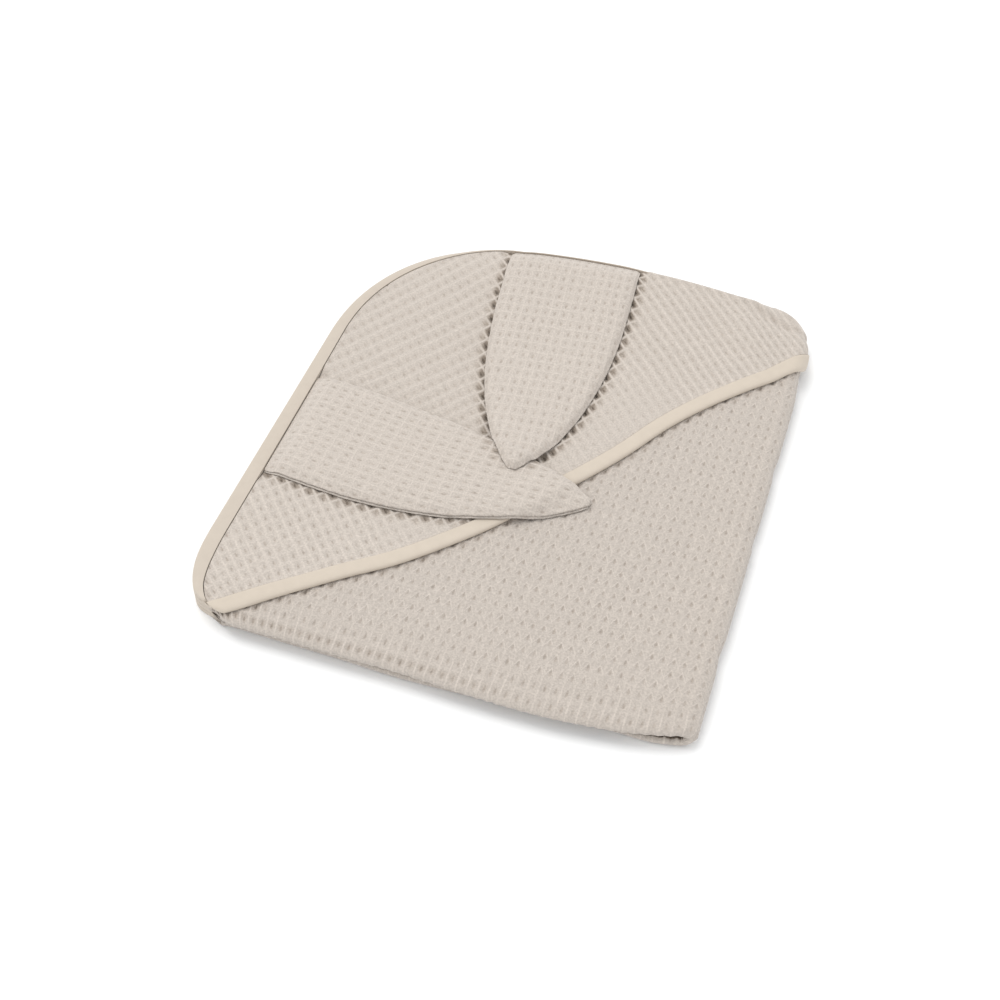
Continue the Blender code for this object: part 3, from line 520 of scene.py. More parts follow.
def uneven(seed, x, y, span):
    """Smooth noise between -1 and 1 whose bumps are about a span across."""
    table = np.random.default_rng(seed).uniform(-1.0, 1.0, (NOISE_SIZE, NOISE_SIZE))
    column = np.floor(x / span).astype(int)
    row = np.floor(y / span).astype(int)
    near, far = (mix(table[column % NOISE_SIZE, (row + back) % NOISE_SIZE],
                     table[(column + 1) % NOISE_SIZE, (row + back) % NOISE_SIZE],
                     smooth(x / span - column)) for back in (0, 1))
    return mix(near, far, smooth(y / span - row))


def row_at(rows, x):
    """The columns of a table at each x, on a smooth curve through its rows."""
    x = np.asarray(x, float)
    k = np.clip(np.searchsorted(rows[:, 0], x) - 1, 0, len(rows) - 2)
    before = rows[np.maximum(k - 1, 0)]
    start = rows[k]
    end = rows[k + 1]
    after = rows[np.minimum(k + 2, len(rows) - 1)]
    span = (end - start)[..., :1]
    t = np.clip((x[..., None] - start[..., :1]) / span, 0.0, 1.0)
    first = (end - before) / (end - before)[..., :1] * span
    final = (after - start) / (after - start)[..., :1] * span
    value = ((2.0 * t ** 3 - 3.0 * t * t + 1.0) * start + (t ** 3 - 2.0 * t * t + t) * first
             + (3.0 * t * t - 2.0 * t ** 3) * end + (t ** 3 - t * t) * final)
    return np.moveaxis(value[..., 1:], -1, 0)


def spline(rows, count):
    """Points at even steps along a smooth curve through the rows."""
    rows = np.array(rows)
    last = len(rows) - 1
    fine = []
    for k in range(last):
        p0, p1, p2, p3 = rows[[max(k - 1, 0), k, k + 1, min(k + 2, last)]]
        for t in np.arange(SPLINE_STEPS) / SPLINE_STEPS:
            fine.append(0.5 * (2 * p1 + (p2 - p0) * t + (2 * p0 - 5 * p1 + 4 * p2 - p3) * t * t
                               + (3 * p1 - p0 - 3 * p2 + p3) * t ** 3))
    return evenly(np.array(fine + [rows[-1]]), count)


def lengths_along(x, y):
    """Length of a line up to each of its points."""
    return np.concatenate([[0.0], np.cumsum(np.hypot(np.diff(x), np.diff(y)))])


def evenly(line, count):
    """The same line with count even steps, measured in its first two columns."""
    along = lengths_along(line[:, 0], line[:, 1])
    wanted = np.linspace(0.0, along[-1], count + 1)
    return np.stack([np.interp(wanted, along, column) for column in line.T], axis=1)


def neighbours(count):
    """Numbers of the points before and after each point of a line."""
    index = np.arange(count)
    return np.maximum(index - 1, 0), np.minimum(index + 1, count - 1)


def read_at(values, at):
    """Values given for a line's points, read at places between them."""
    return np.interp(at, np.arange(len(values)), values)


def side_of(line, x, y):
    """How far each point is to the left of a line, less than 0 on its right, and where along it."""
    start = line[:-1, :2]
    step = line[1:, :2] - start
    square = (step ** 2).sum(axis=1)
    flat_x = np.ravel(x)
    flat_y = np.ravel(y)
    distance = np.empty(flat_x.size)
    along = np.empty(flat_x.size)
    for first in range(0, flat_x.size, CHUNK):
        part = slice(first, first + CHUNK)
        off_x = flat_x[part, None] - start[:, 0]
        off_y = flat_y[part, None] - start[:, 1]
        t = np.clip((off_x * step[:, 0] + off_y * step[:, 1]) / square, 0.0, 1.0)
        off_x -= t * step[:, 0]
        off_y -= t * step[:, 1]
        away = off_x ** 2 + off_y ** 2
        k = away.argmin(axis=1)
        row = np.arange(len(k))
        cross = step[k, 0] * off_y[row, k] - step[k, 1] * off_x[row, k]
        distance[part] = np.where(cross >= 0.0, 1.0, -1.0) * np.sqrt(away[row, k])
        along[part] = k + t[row, k]
    return distance.reshape(np.shape(x)), along.reshape(np.shape(x))


def left_of(line, x, y):
    """How far each point is to the left of a line, less than 0 on its right."""
    return side_of(line, x, y)[0]


def beside(line, x, y, span):
    """1 at a line, falling off over a span on its right hand side."""
    return bell(np.minimum(left_of(line, x, y) + SHADE_START, 0.0), span)


# ---- the packet's plan
def back_edge_y(x):
    return BACK_CREST_Y - BACK_BOW * ((x - BACK_CREST_X) / BACK_BOW_SPAN) ** 2


def fold_line_x(y):
    """Outermost x of the right fold."""
    turn = np.clip((y - FOLD_CORNER_Y) / FOLD_CORNER_SPAN_Y, 0.0, FOLD_CORNER_TURN)
    turned = FOLD_CORNER_X + FOLD_CORNER_SPAN_X * np.sqrt(1.0 - turn ** 2)
    return np.where(y <= FOLD_CORNER_Y, PACKET_WIDTH, turned)


def fold_axis_x(y):
    """Where the flat top ends and the right fold begins."""
    return fold_line_x(y) - FOLD_RADIUS


def fold_end_x():
    """Plan centre of the right fold where it meets the bound back edge."""
    x = PACKET_WIDTH - 2.0 * FOLD_RADIUS
    for _ in range(SETTLE_ROUNDS):
        x = float(fold_axis_x(back_edge_y(x) - BINDING_WIDTH - SEAM))
    return x


FOLD_END_X = fold_end_x()
FOLD_LENGTH = math.pi * 0.5 * (FOLD_RADIUS + 0.5 * CORE_EDGE_HEIGHT)


def rise_at(x, y):
    """How much higher the inner side of the top tape is than its outer side."""
    rise = BACK_RISE * ramp(x, *DOME_LEFT) * ramp(x, FOLD_END_X, DOME_RIGHT[0])
    return np.where(y < CORNER_START_Y, 0.0, rise)


def edge_stations():
    """Stations along the left edge, round the back left corner and along the back edge."""
    front = (np.arange(LEFT_STEPS) / LEFT_STEPS) ** LEFT_CROWDING
    front = ROLL_LINE + (CORNER_START_Y - ROLL_LINE) * front
    angle = 0.5 * math.pi * np.arange(CORNER_STEPS) / CORNER_STEPS
    across = np.cos(angle) ** (2.0 / CORNER_POWER)
    along = np.sin(angle) ** (2.0 / CORNER_POWER)
    back = np.linspace(CORNER_SPAN_X, FOLD_END_X, BACK_STEPS + 1)
    rise_y = back_edge_y(CORNER_SPAN_X) - CORNER_START_Y
    x = np.concatenate([0.0 * front, CORNER_SPAN_X * (1.0 - across), back])
    y = np.concatenate([front, CORNER_START_Y + rise_y * along, back_edge_y(back)])
    before, after = neighbours(len(x))
    step = np.hypot(x[after] - x[before], y[after] - y[before])
    normal_x = -(y[after] - y[before]) / step
    normal_y = (x[after] - x[before]) / step
    # The last stations face straight back, so that the fold can turn round them.
    index = np.arange(len(x))
    normal_x = normal_x * (1.0 - ramp(index, index[-1] - STRAIGHT_STATIONS, index[-1]))
    scale = np.hypot(normal_x, normal_y)
    rise = rise_at(x, y)
    slope = np.minimum(rise / BINDING_WIDTH, STEEPEST_TAPE)
    corner = (index - LEFT_STEPS) / CORNER_STEPS - CORNER_NARROW_AT
    binding = BINDING_WIDTH * (1.0 - CORNER_NARROW * bell(corner, CORNER_NARROW_SPAN))
    length = lengths_along(x, y)
    return {"x": x, "y": y, "nx": normal_x / scale, "ny": normal_y / scale,
            "width": binding * np.sqrt(1.0 - slope ** 2), "rise": rise,
            "along": length, "to_end": length[-1] - length}


STATIONS = edge_stations()


def inner_line(gap):
    """The line on the inner side of the bound edge, a gap further in."""
    inset = STATIONS["width"] + gap
    return np.stack([STATIONS["x"] - STATIONS["nx"] * inset,
                     STATIONS["y"] - STATIONS["ny"] * inset], axis=1)


INNER_LINE = inner_line(SEAM)
HOOD_SEAM_LINE = inner_line(2.0 * SEAM)
TUCKED = ramp(STATIONS["x"], *TUCK_X)
TUCKED *= np.arange(len(TUCKED)) > LEFT_STEPS + CORNER_STEPS
HOOD_BACK_LINE = mix(HOOD_SEAM_LINE, inner_line(HOOD_BACK_INSET - STATIONS["width"]),
                     TUCKED[:, None])
HEM_LINE = np.concatenate([spline(HEM[:-2], HEM_STEPS)[:-1], spline(HEM[-3:], HEM_FOLD_STEPS)])


def hem_upper_line():
    """The upper edge of the hem tape, one point for each point of its lower edge."""
    before, after = neighbours(len(HEM_LINE))
    before[:HEM_LEAD] = HEM_LEAD - 1
    after[:HEM_LEAD] = HEM_LEAD + 1
    step = HEM_LINE[after, :2] - HEM_LINE[before, :2]
    step /= np.hypot(*step.T)[:, None]
    width = HEM_LINE[:, 2]
    return np.stack([HEM_LINE[:, 0] - width * step[:, 1], HEM_LINE[:, 1] + width * step[:, 0]],
                    axis=1)


HEM_UPPER_LINE = hem_upper_line()
HOOD_END_X = HEM_UPPER_LINE[-1, 0] - HOOD_SHORT_OF_HEM


# ---- heights
def core_top(x, y):
    """Height of the four folded layers' top."""
    back = np.maximum(back_edge_y(x) - y, 0.0)
    dome = DOME_HEIGHT * bell(back, DOME_SPAN) * ramp(x, *DOME_LEFT)
    dome *= 1.0 - DOME_RIGHT_SHARE * ramp(x, *DOME_RIGHT)
    inside, at = side_of(INNER_LINE, x, y)
    inside = np.maximum(-inside, 0.0)
    rise = read_at(STATIONS["rise"], at)
    span = mix(LEFT_SLOPE_SPAN, BACK_SLOPE_SPAN, smooth((at - LEFT_STEPS) / CORNER_STEPS))
    height = mix(CORE_EDGE_HEIGHT + rise, CORE_HEIGHT + dome, ease_out(inside / span))
    front = 1.0 - np.clip((y - ROLL_LINE) / FRONT_DROP_SPAN, 0.0, 1.0)
    return height - FRONT_DROP * front * front


def core_bottom(x, y):
    """The underside is flat, but for the corner where the hood comes round the fold."""
    unrolled = 2.0 * fold_axis_x(y) + FOLD_LENGTH - x
    room = HEM_ROOM * ramp(left_of(HEM_LINE, unrolled, y), *ROOM_SLOPE)
    flat = (y < FOLD_CORNER_Y - UNDERSIDE_ROOM_Y) | (x < FOLD_END_X - UNDERSIDE_ROOM_X)
    return np.where(flat, 0.0, room)


def fold_radius(y):
    return FOLD_RADIUS - FOLD_RECESS * ramp(y, *FOLD_RECESS_Y)


def roll_profile(front, half, gape):
    """The front roll's y, height over the packet's middle and normal, this far in front."""
    straight = ROLL_LINE - ROLL_RADIUS
    angle = math.pi * np.clip((front - straight) / ROLL_LENGTH, 0.0, 1.0)
    centre = 0.5 * half
    tall = centre - 0.5 * SEAM - np.where(angle > 0.5 * math.pi, gape, 0.0)
    y = (ROLL_LINE - np.minimum(front, straight) - ROLL_RADIUS * np.sin(angle)
         + np.maximum(front - straight - ROLL_LENGTH, 0.0))
    height = centre + tall * np.cos(angle)
    normal_y = -tall * np.sin(angle)
    normal_z = ROLL_RADIUS * np.cos(angle)
    scale = np.hypot(normal_y, normal_z)
    return y, np.where(front < straight, half, height), normal_y / scale, normal_z / scale


def relief(x, y):
    """The creases, and the dips under the ears' bases, in the plan of all layers."""
    height = np.zeros(np.shape(x))
    for start, end, depth, half_width in CREASES:
        way = np.subtract(end, start)
        length = np.hypot(*way)
        along = ((x - start[0]) * way[0] + (y - start[1]) * way[1]) / length ** 2
        across = ((y - start[1]) * way[0] - (x - start[0]) * way[1]) / length
        ends = smooth(along / CREASE_TAPER) * smooth((1.0 - along) / CREASE_TAPER)
        height += depth * ends * bell(across, half_width)
    edge = left_of(INNER_LINE, np.minimum(x, FOLD_END_X), y)
    height *= smooth(-edge / CREASE_FADE)
    for base, control, _ in EARS.values():
        way = np.subtract(control, base)
        way /= np.hypot(*way)
        across = np.abs((x - base[0]) * way[1] - (y - base[1]) * way[0])
        along = (x - base[0]) * way[0] + (y - base[1]) * way[1]
        near = bell(edge, BASE_PRESS_SPAN) * (along < BASE_PRESS_REACH)
        height -= BASE_PRESS * ramp(across, *BASE_PRESS_SIDE) * near
    underneath = x > fold_axis_x(y) + 0.5 * FOLD_LENGTH
    return np.where(underneath, np.minimum(height, 0.0), height)


def towel_point(x, y, lift):
    """A plan point lifted off the core: round the front roll, the right fold and underneath."""
    lift = lift + relief(x, y)
    flat_y = np.maximum(y, ROLL_LINE)
    axis = fold_axis_x(flat_y)
    below = 2.0 * axis + FOLD_LENGTH - x
    flat_x = np.where(x > axis + FOLD_LENGTH, below, np.minimum(x, axis))
    top = core_top(flat_x, flat_y)
    bottom = core_bottom(flat_x, flat_y)
    middle = 0.5 * (top + bottom)
    half = 0.5 * (top - bottom)
    gape = MOUTH_GAP * ramp(x, *MOUTH_LEFT) * ramp(x, *MOUTH_RIGHT)
    roll_y, height, normal_y, normal_z = roll_profile(np.maximum(ROLL_LINE - y, 0.0), half, gape)
    angle = np.clip(math.pi * (x - axis) / FOLD_LENGTH, 0.0, math.pi)
    reach = fold_radius(flat_y) * height / half + normal_z * lift
    return np.stack([flat_x + reach * np.sin(angle),
                     np.where(y < ROLL_LINE, roll_y + normal_y * lift, y),
                     middle + (height + normal_z * lift) * np.cos(angle)], axis=-1)


def hood_cover(x, y):
    """Thickness over the towel of the hood and its hem tape, sloped where cloth bridges it."""
    inside = left_of(HEM_LINE, x, y)
    cover = (HEM_THICKNESS + SEAT) * ramp(inside, *COVER_SLOPE)
    return cover - (HEM_THICKNESS - HOOD_WALL) * ramp(inside, *COVER_STEP)


def rolled_over(x, y):
    """How far out over the bound back edge a point of the hood is, and how fully it lies there."""
    out, at = side_of(INNER_LINE, np.minimum(x, FOLD_END_X), y)
    return out, at, read_at(TUCKED, at)


def over_tape(x, y):
    """The hood's lift and slope where it rolls out over the bound back edge."""
    out, at, tucked = rolled_over(x, y)
    slope = read_at(STATIONS["rise"] / STATIONS["width"], at)
    step = EDGE_STACK - TUCK + SEAM - CORE_EDGE_HEIGHT - SEAT
    down = slope * np.maximum(out, 0.0) + 0.5 * HOOD_WALL * ramp(out, *TUCK_DOWN)
    fill = CORNER_FILL * bell(x - CORNER_FILL_X, CORNER_FILL_SPAN)
    above = ramp(x - fold_axis_x(y), FOLD_LENGTH, 0.5 * FOLD_LENGTH)
    return tucked * above * ((step + fill) * ramp(out, *TUCK_RISE) - down)


def as_folded(points):
    """Points moved in plan, so that the rolls and the front left corner lie as folded."""
    x, y, z = points[..., 0], points[..., 1], points[..., 2]
    upper, lower = row_at(FRONT_LINE, x)
    back = mix(lower, upper, ramp(z, *ROLL_SPLIT))
    from_left = np.clip(x / FRONT_FADE_SPAN, 0.0, 1.0)
    fade = 1.0 - y / mix(FRONT_FADE_SPAN_LEFT, FRONT_FADE_SPAN, from_left)
    pull = np.maximum(1.0 - y / LEFT_PULL_DEPTH, 0.0) ** LEFT_PULL_POWER
    pull *= np.exp(-np.maximum(x, 0.0) / LEFT_PULL_REACH)
    squeeze = smooth(x / BINDING_WIDTH) * (1.0 - smooth(y / TAPE_SQUEEZE_DEPTH))
    squeeze *= np.exp(-np.maximum(x - BINDING_WIDTH, 0.0) / TAPE_SQUEEZE_REACH)
    tuck = ramp(z, *CORNER_TUCK_Z) * smooth(1.0 - y / CORNER_TUCK_Y)
    tuck *= bell(np.maximum(x, 0.0), CORNER_TUCK_REACH)
    return np.stack([x + LEFT_PULL * pull - TAPE_SQUEEZE * squeeze + CORNER_TUCK * tuck,
                     y + back * np.maximum(fade, 0.0), z], axis=-1)


def in_frame(points):
    """Folded points in the frame, whose origin is under the packet's middle."""
    corner = np.array([CAD_BOX[0].x, CAD_BOX[1].y - BACK_CREST_Y, 0.0])
    return as_folded(points) + corner


# ---- cloth as a thin shell
def grid_lines(first, last, steps):
    """Lines at even steps in each cell of the waffle, from one rib to another."""
    return np.linspace(first, last, (last - first) * steps + 1)


def cut_cloth(u_lines, v_lines, plan, inside):
    """The part of a grid that lies inside an outline: cell and plan points, and faces.

    The grid follows the ribs. Its points next to the outline are moved onto it.
    """
    u, v = np.meshgrid(u_lines, v_lines, indexing="ij")
    x, y = plan(u, v)
    depth = inside(x, y)
    by_row, by_column = np.gradient(depth)
    reach = 0.5 * np.maximum(np.abs(by_row), np.abs(by_column)) + NO_REACH
    keep = depth > -reach
    near = np.abs(depth) <= reach
    slope = by_row ** 2 + by_column ** 2 + NO_SLOPE
    move_row = np.where(near, -depth * by_row / slope, 0.0)
    move_column = np.where(near, -depth * by_column / slope, 0.0)
    u = u + move_row * np.gradient(u, axis=0)
    v = v + move_column * np.gradient(v, axis=1)
    number = np.full(keep.shape, -1)
    number[keep] = np.arange(keep.sum())
    quads = np.stack([number[:-1, :-1], number[1:, :-1], number[1:, 1:], number[:-1, 1:]],
                     axis=-1).reshape(-1, 4)
    count = (quads >= 0).sum(axis=1)
    faces = quads[count == 4].tolist()
    faces += [[k for k in quad if k >= 0] for quad in quads[count == 3].tolist()]
    return u[keep], v[keep], faces


def inner_grid(inside, x_parts, y_parts, room):
    """Plan points at which a shell's inner side is carried, this far inside its cut."""
    x, y = (np.concatenate([np.arange(*part) for part in parts]) for parts in (x_parts, y_parts))
    x, y = np.meshgrid(x, y, indexing="ij")
    wanted = inside(x, y) > room
    return x[wanted], y[wanted]


def shell(name, u_lines, v_lines, plan, inside, outer, inner, carried_at):
    """A closed thin shell: the cut cloth, a rim, and a plain inner side.

    outer gives points for the cells and plan points of the cloth, inner for plan points alone.
    Returns the object and the cut's flat area.
    """
    u, v, faces = cut_cloth(u_lines, v_lines, plan, inside)
    x, y = plan(u, v)
    points, pit, shade = outer(u, v, x, y)
    mesh = bpy.data.meshes.new(name)
    mesh.from_pydata(in_frame(points).tolist(), [], faces)
    area = flat_area(x, y, faces)
    for label, values in (("cloth", np.stack([u, v, pit], axis=-1)),
                          ("plan", np.stack([x, y, 0.0 * x], axis=-1))):
        layer = mesh.attributes.new(label, "FLOAT_VECTOR", "POINT")
        layer.data.foreach_set("vector", values.astype(np.float32).ravel())
    # The shade value sets where shade is painted into the cloth's colour.
    layer = mesh.attributes.new("shade", "FLOAT", "POINT")
    layer.data.foreach_set("value", shade.astype(np.float32))
    work = bmesh.new()
    work.from_mesh(mesh)
    bmesh.ops.remove_doubles(work, verts=work.verts, dist=MERGE_CLOTH)
    bmesh.ops.delete(work, geom=[vert for vert in work.verts if not vert.link_faces],
                     context="VERTS")
    close_shell(work, inner, *inner_grid(inside, *carried_at))
    return finished(work, mesh, SHARP_CLOTH), area


def finished(work, mesh, sharp):
    """The object of a closed mesh, smooth but for edges that turn by more than sharp degrees."""
    bmesh.ops.recalc_face_normals(work, faces=work.faces)
    work.to_mesh(mesh)
    work.free()
    mesh.shade_smooth()
    mesh.set_sharp_from_angle(angle=math.radians(sharp))
    return placed(mesh.name, mesh)


def placed(name, data):
    """An object of some mesh, light or camera, in the scene."""
    thing = bpy.data.objects.new(name, data)
    bpy.context.collection.objects.link(thing)
    return thing


def flat_area(x, y, faces):
    """Area of the faces in plan."""
    total = 0.0
    for corners in (3, 4):
        ring = np.array([face for face in faces if len(face) == corners], int)
        if len(ring):
            px, py = x[ring], y[ring]
            cross = px * np.roll(py, -1, axis=1) - py * np.roll(px, -1, axis=1)
            total += np.abs(0.5 * cross.sum(axis=1)).sum()
    return float(total)


def close_shell(work, inner, grid_x, grid_y):
    """Adds the rim and the inner side to an open sheet, by the plan points of its vertices."""
    layer = work.verts.layers.float_vector["plan"]
    rim = [edge for edge in work.edges if edge.is_boundary]
    ring = list(dict.fromkeys(vert for edge in rim for vert in edge.verts))
    plan_x = np.concatenate([[vert[layer].x for vert in ring], grid_x])
    plan_y = np.concatenate([[vert[layer].y for vert in ring], grid_y])
    made = [work.verts.new(place) for place in in_frame(inner(plan_x, plan_y)).tolist()]
    place_in_ring = {vert: k for k, vert in enumerate(ring)}
    loop = []
    for edge in rim:
        a, b = edge.verts
        ka, kb = place_in_ring[a], place_in_ring[b]
        loop.append((ka, kb))
        work.faces.new((a, b, made[kb], made[ka]))
    flat = [Vector(pair) for pair in zip(plan_x, plan_y)]
    result = delaunay_2d_cdt(flat, loop, [], 1, MERGE_PLAN)
    origin = [ids[0] if ids else None for ids in result[3]]
    for face in result[2]:
        corners = [origin[k] for k in face]
        if None not in corners and len(set(corners)) == 3:
            work.faces.new([made[k] for k in corners])


# ---- waffle relief
def pit_at(u, v, seed, furrow=0.0, row=0.0):
    """0 on the waffle's ribs, about 1 in a cell. Furrows run along v, and rows along u."""
    chance = np.random.default_rng(seed).uniform(1.0 - CELL_CHANCE, 1.0 + CELL_CHANCE,
                                                 (NOISE_SIZE, NOISE_SIZE))
    column = np.floor(u).astype(int)
    line = np.floor(v).astype(int)
    across = np.abs(2.0 * (u - column) - 1.0)
    along = np.abs(2.0 * (v - line) - 1.0)
    shelf = (1.0 - across ** RIB_POWER) * (1.0 - along ** RIB_POWER)
    width = HOLE_WIDTH * (1.0 + HOLE_LEAN * (1.0 - 2.0 * (v - line)))
    hole = smooth(1.0 - across / width) * smooth(1.0 - along / HOLE_LENGTH)
    depth = mix(shelf, hole, HOLE_SHARE)
    depth = mix(depth, FURROW_DEPTH * (1.0 - across ** 2) * (1.0 - FURROW_WAVE * along ** 2),
                furrow)
    depth = mix(depth, FURROW_DEPTH * (1.0 - along ** 2) * (1.0 - FURROW_WAVE * across ** 2), row)
    return depth * chance[column % NOISE_SIZE, line % NOISE_SIZE]


def wander(seed, x, y):
    """Plan points strayed a little, so that no rib is straight."""
    return (x + RIB_WANDER * uneven(seed, x, y, RIB_WANDER_SPAN),
            y + RIB_WANDER * uneven(seed + 1, x, y, RIB_WANDER_SPAN))


def pit_depth(pit, edge, wall):
    """Depth of the pits in a wall, none on its edge."""
    return np.minimum(PIT_DEPTH * pit, wall - PIT_FLOOR) * smooth(edge / PIT_FADE)


# ---- towel
def towel_plan(u, v):
    stretch = FRONT_STRETCH * (1.0 - np.exp(-np.maximum(v, 0.0) / FRONT_STRETCH_CELLS))
    before = np.minimum(v, 0.0) * FRONT_STRETCH / FRONT_STRETCH_CELLS
    return wander(TOWEL_SEEDS[0], u * CELL_SHORT, v * CELL_LONG + stretch + before)


def towel_inside(x, y):
    """How far a plan point is inside the towel's cloth, as far as it shows."""
    flat_y = np.maximum(y, ROLL_LINE + BEHIND_ROLL_LINE)
    axis = fold_axis_x(flat_y)
    below = 2.0 * axis + FOLD_LENGTH - x
    under = x > axis + FOLD_LENGTH
    flat_x = np.minimum(np.where(under, below, x), FOLD_END_X)
    rim = left_of(INNER_LINE, flat_x, flat_y)
    rim -= BINDING_WIDTH * (1.0 - TURN_TAPER) * smooth((ROLL_LINE - y) / TURN_TAPER_SPAN)
    hem = left_of(HEM_LINE, x, y)
    shows = np.maximum(BEHIND_HEM - hem, x - (HOOD_END_X - BEHIND_HOOD_END))
    front = y - (ROLL_RADIUS - ROLL_LENGTH - GROOVE_DEPTH)
    return np.minimum(np.minimum(-rim, shows), front)


def towel_pits_and_painted_shade(x, y):
    """How much wider open the towel's pits lie, and how much shade is painted into them: beside the
    hem tape and behind the front roll.
    """
    hem = HEM_SHADE[0] * beside(HEM_LINE, x, y, HEM_SHADE[1]) * (x < PACKET_WIDTH)
    front = FRONT_SHADE[0] * bell(y - FRONT_SHADE_Y, FRONT_SHADE[1]) * ramp(x, *FRONT_SHADE_X)
    return hem + front


def towel_cloth():
    fold_u = math.ceil((PACKET_WIDTH - FOLD_RADIUS + FOLD_LENGTH) / CELL_SHORT) + 1
    last_u = math.ceil((2.0 * PACKET_WIDTH + FOLD_LENGTH) / CELL_SHORT)
    u_lines = np.concatenate([grid_lines(0, fold_u, CELL_STEPS),
                              grid_lines(fold_u, last_u, UNDERSIDE_STEPS)[1:]])

    def outer(u, v, x, y):
        shade = towel_pits_and_painted_shade(x, y)
        pit = pit_at(u, v, TOWEL_SEEDS[1]) * (1.0 + shade)
        depth = pit_depth(pit, towel_inside(x, y), SHELL)
        # Shade is painted into the groove between the rolls; the pits there are not deepened by it.
        groove = GROOVE_SHADE * ramp(y, *GROOVE_Y)
        return towel_point(x, y, -depth), pit, np.maximum(shade, groove)

    def inner(x, y):
        return towel_point(x, y, np.full(x.shape, -SHELL))

    return shell("towel_cloth", u_lines, grid_lines(*TOWEL_ROWS, CELL_ROWS), towel_plan,
                 towel_inside, outer, inner, TOWEL_CARRIED_AT)


# ---- hood
def hood_base_line():
    """The hood's ribs are counted along this curve: cell numbers, x and y."""
    cells = np.arange(HOOD_GRAIN[0, 0] - GRAIN_MARGIN, HOOD_GRAIN[-1, 0] + GRAIN_MARGIN,
                      GRAIN_STEP)
    way = np.radians(np.interp(cells, HOOD_GRAIN[:, 0], HOOD_GRAIN[:, 1]))
    pitch = np.interp(cells, HOOD_GRAIN[:, 0], HOOD_GRAIN[:, 2])
    x = np.cumsum(pitch * np.cos(way)) * GRAIN_STEP
    y = np.cumsum(pitch * np.sin(way)) * GRAIN_STEP
    return (cells, x - np.interp(0.0, cells, x) + HOOD_GRAIN_START[0],
            y - np.interp(0.0, cells, y) + HOOD_GRAIN_START[1])


HOOD_BASE_LINE = hood_base_line()


def hood_plan(u, v):
    cells, base_x, base_y = HOOD_BASE_LINE
    across = HOOD_CELL_LONG * v + HOOD_STRETCH * v * v
    return wander(HOOD_SEEDS[0], np.interp(u, cells, base_x) + across * math.cos(HOOD_RIBS),
                  np.interp(u, cells, base_y) + across * math.sin(HOOD_RIBS))


def hood_inside(x, y):
    rim = -left_of(HOOD_BACK_LINE, np.minimum(x, FOLD_END_X), y)
    hem = left_of(HEM_UPPER_LINE, x, y) - HEM_HOOD_GAP
    return np.minimum(np.minimum(rim, hem), HOOD_END_X - x)


def hood_pits_and_painted_shade(x, y):
    """How much wider open the hood's pits lie beside the ears, and how much shade is painted into
    them.
    """
    left = LEFT_EAR_SHADE[0] * beside(LEFT_EAR_RIM, x, y, LEFT_EAR_SHADE[1]) * (y < EARS_PART_Y)
    right = RIGHT_EAR_SHADE[0] * beside(RIGHT_EAR_RIM, x, y, RIGHT_EAR_SHADE[1])
    return np.maximum(left, right)


def zone(u, v, start, end, away):
    """1 in a part of the hood: from start to end along the hem, and as far away from it."""
    return ramp(u, *start) * ramp(u, *end) * ramp(v, *away)


def hood_cloth():
    def outer(u, v, x, y):
        # Beside the ears the hood's pits lie deeper, and shade is painted into them.
        shade = hood_pits_and_painted_shade(x, y)
        out, _, tucked = rolled_over(x, y)
        flat = 1.0 - np.minimum(shade, 1.0)
        pit = pit_at(u, v, HOOD_SEEDS[1], flat * ramp(u, *FURROWS), flat * zone(u, v, *ROWS))
        pit = pit * (1.0 + shade) * (1.0 - FAINT_SHARE * flat * zone(u, v, *FAINT))
        pit = pit * (1.0 - TUCK_FLAT * tucked * ramp(out, *TUCK_FLAT_OUT))
        depth = pit_depth(pit, hood_inside(x, y), HOOD_WALL)
        return towel_point(x, y, SEAT + over_tape(x, y) + HOOD_WALL - depth), pit, shade

    def inner(x, y):
        return towel_point(x, y, SEAT + over_tape(x, y))

    return shell("hood_cloth", grid_lines(*HOOD_COLUMNS, CELL_ROWS),
                 grid_lines(*HOOD_ROWS, CELL_STEPS), hood_plan, hood_inside, outer, inner,
                 HOOD_CARRIED_AT)


# ---- ears
def curve_point(ear, t):
    """A point of the ear's middle line and its unit direction."""
    base, control, tip = (np.array(point) for point in ear)
    t = np.asarray(t, float)[..., None]
    at = mix(mix(base, control, t), mix(control, tip, t), t)
    way = mix(control - base, tip - control, t)
    return at, way / np.hypot(way[..., :1], way[..., 1:])


def ear_sides(ear, inset):
    """The two long sides of an ear, base to tip, with the base on the bound edge's seam."""
    base, _, tip = ear
    length = math.dist(base, tip)
    t = 1.0 - (1.0 - np.linspace(0.0, 1.0, EAR_ROWS + 1)) ** ROW_CROWDING
    t = t * (1.0 - EAR_TIP_GAP - inset / length)
    at, way = curve_point(ear, t)
    half = EAR_HALF_WIDTH * (1.0 - t ** EAR_TAPER) ** EAR_ROUNDING - inset
    sides = []
    for side in (-1.0, 1.0):
        line = at + side * half[:, None] * np.stack([-way[:, 1], way[:, 0]], axis=-1)
        _, where = side_of(HOOD_SEAM_LINE, line[:1, 0], line[:1, 1])
        seam = np.array([read_at(column, where[0]) for column in HOOD_SEAM_LINE.T])
        fade = np.maximum(1.0 - t / EAR_BASE_BLEND, 0.0) ** 2
        sides.append(line + fade[:, None] * (seam - line[0]))
    return sides


def ear_rim(ear, inset):
    near, far = ear_sides(ear, inset)
    return np.concatenate([near, far[::-1]])


LEFT_EAR_RIM = ear_rim(EARS["ear_left"], 0.0)
RIGHT_EAR_RIM = ear_rim(EARS["ear_right"], 0.0)


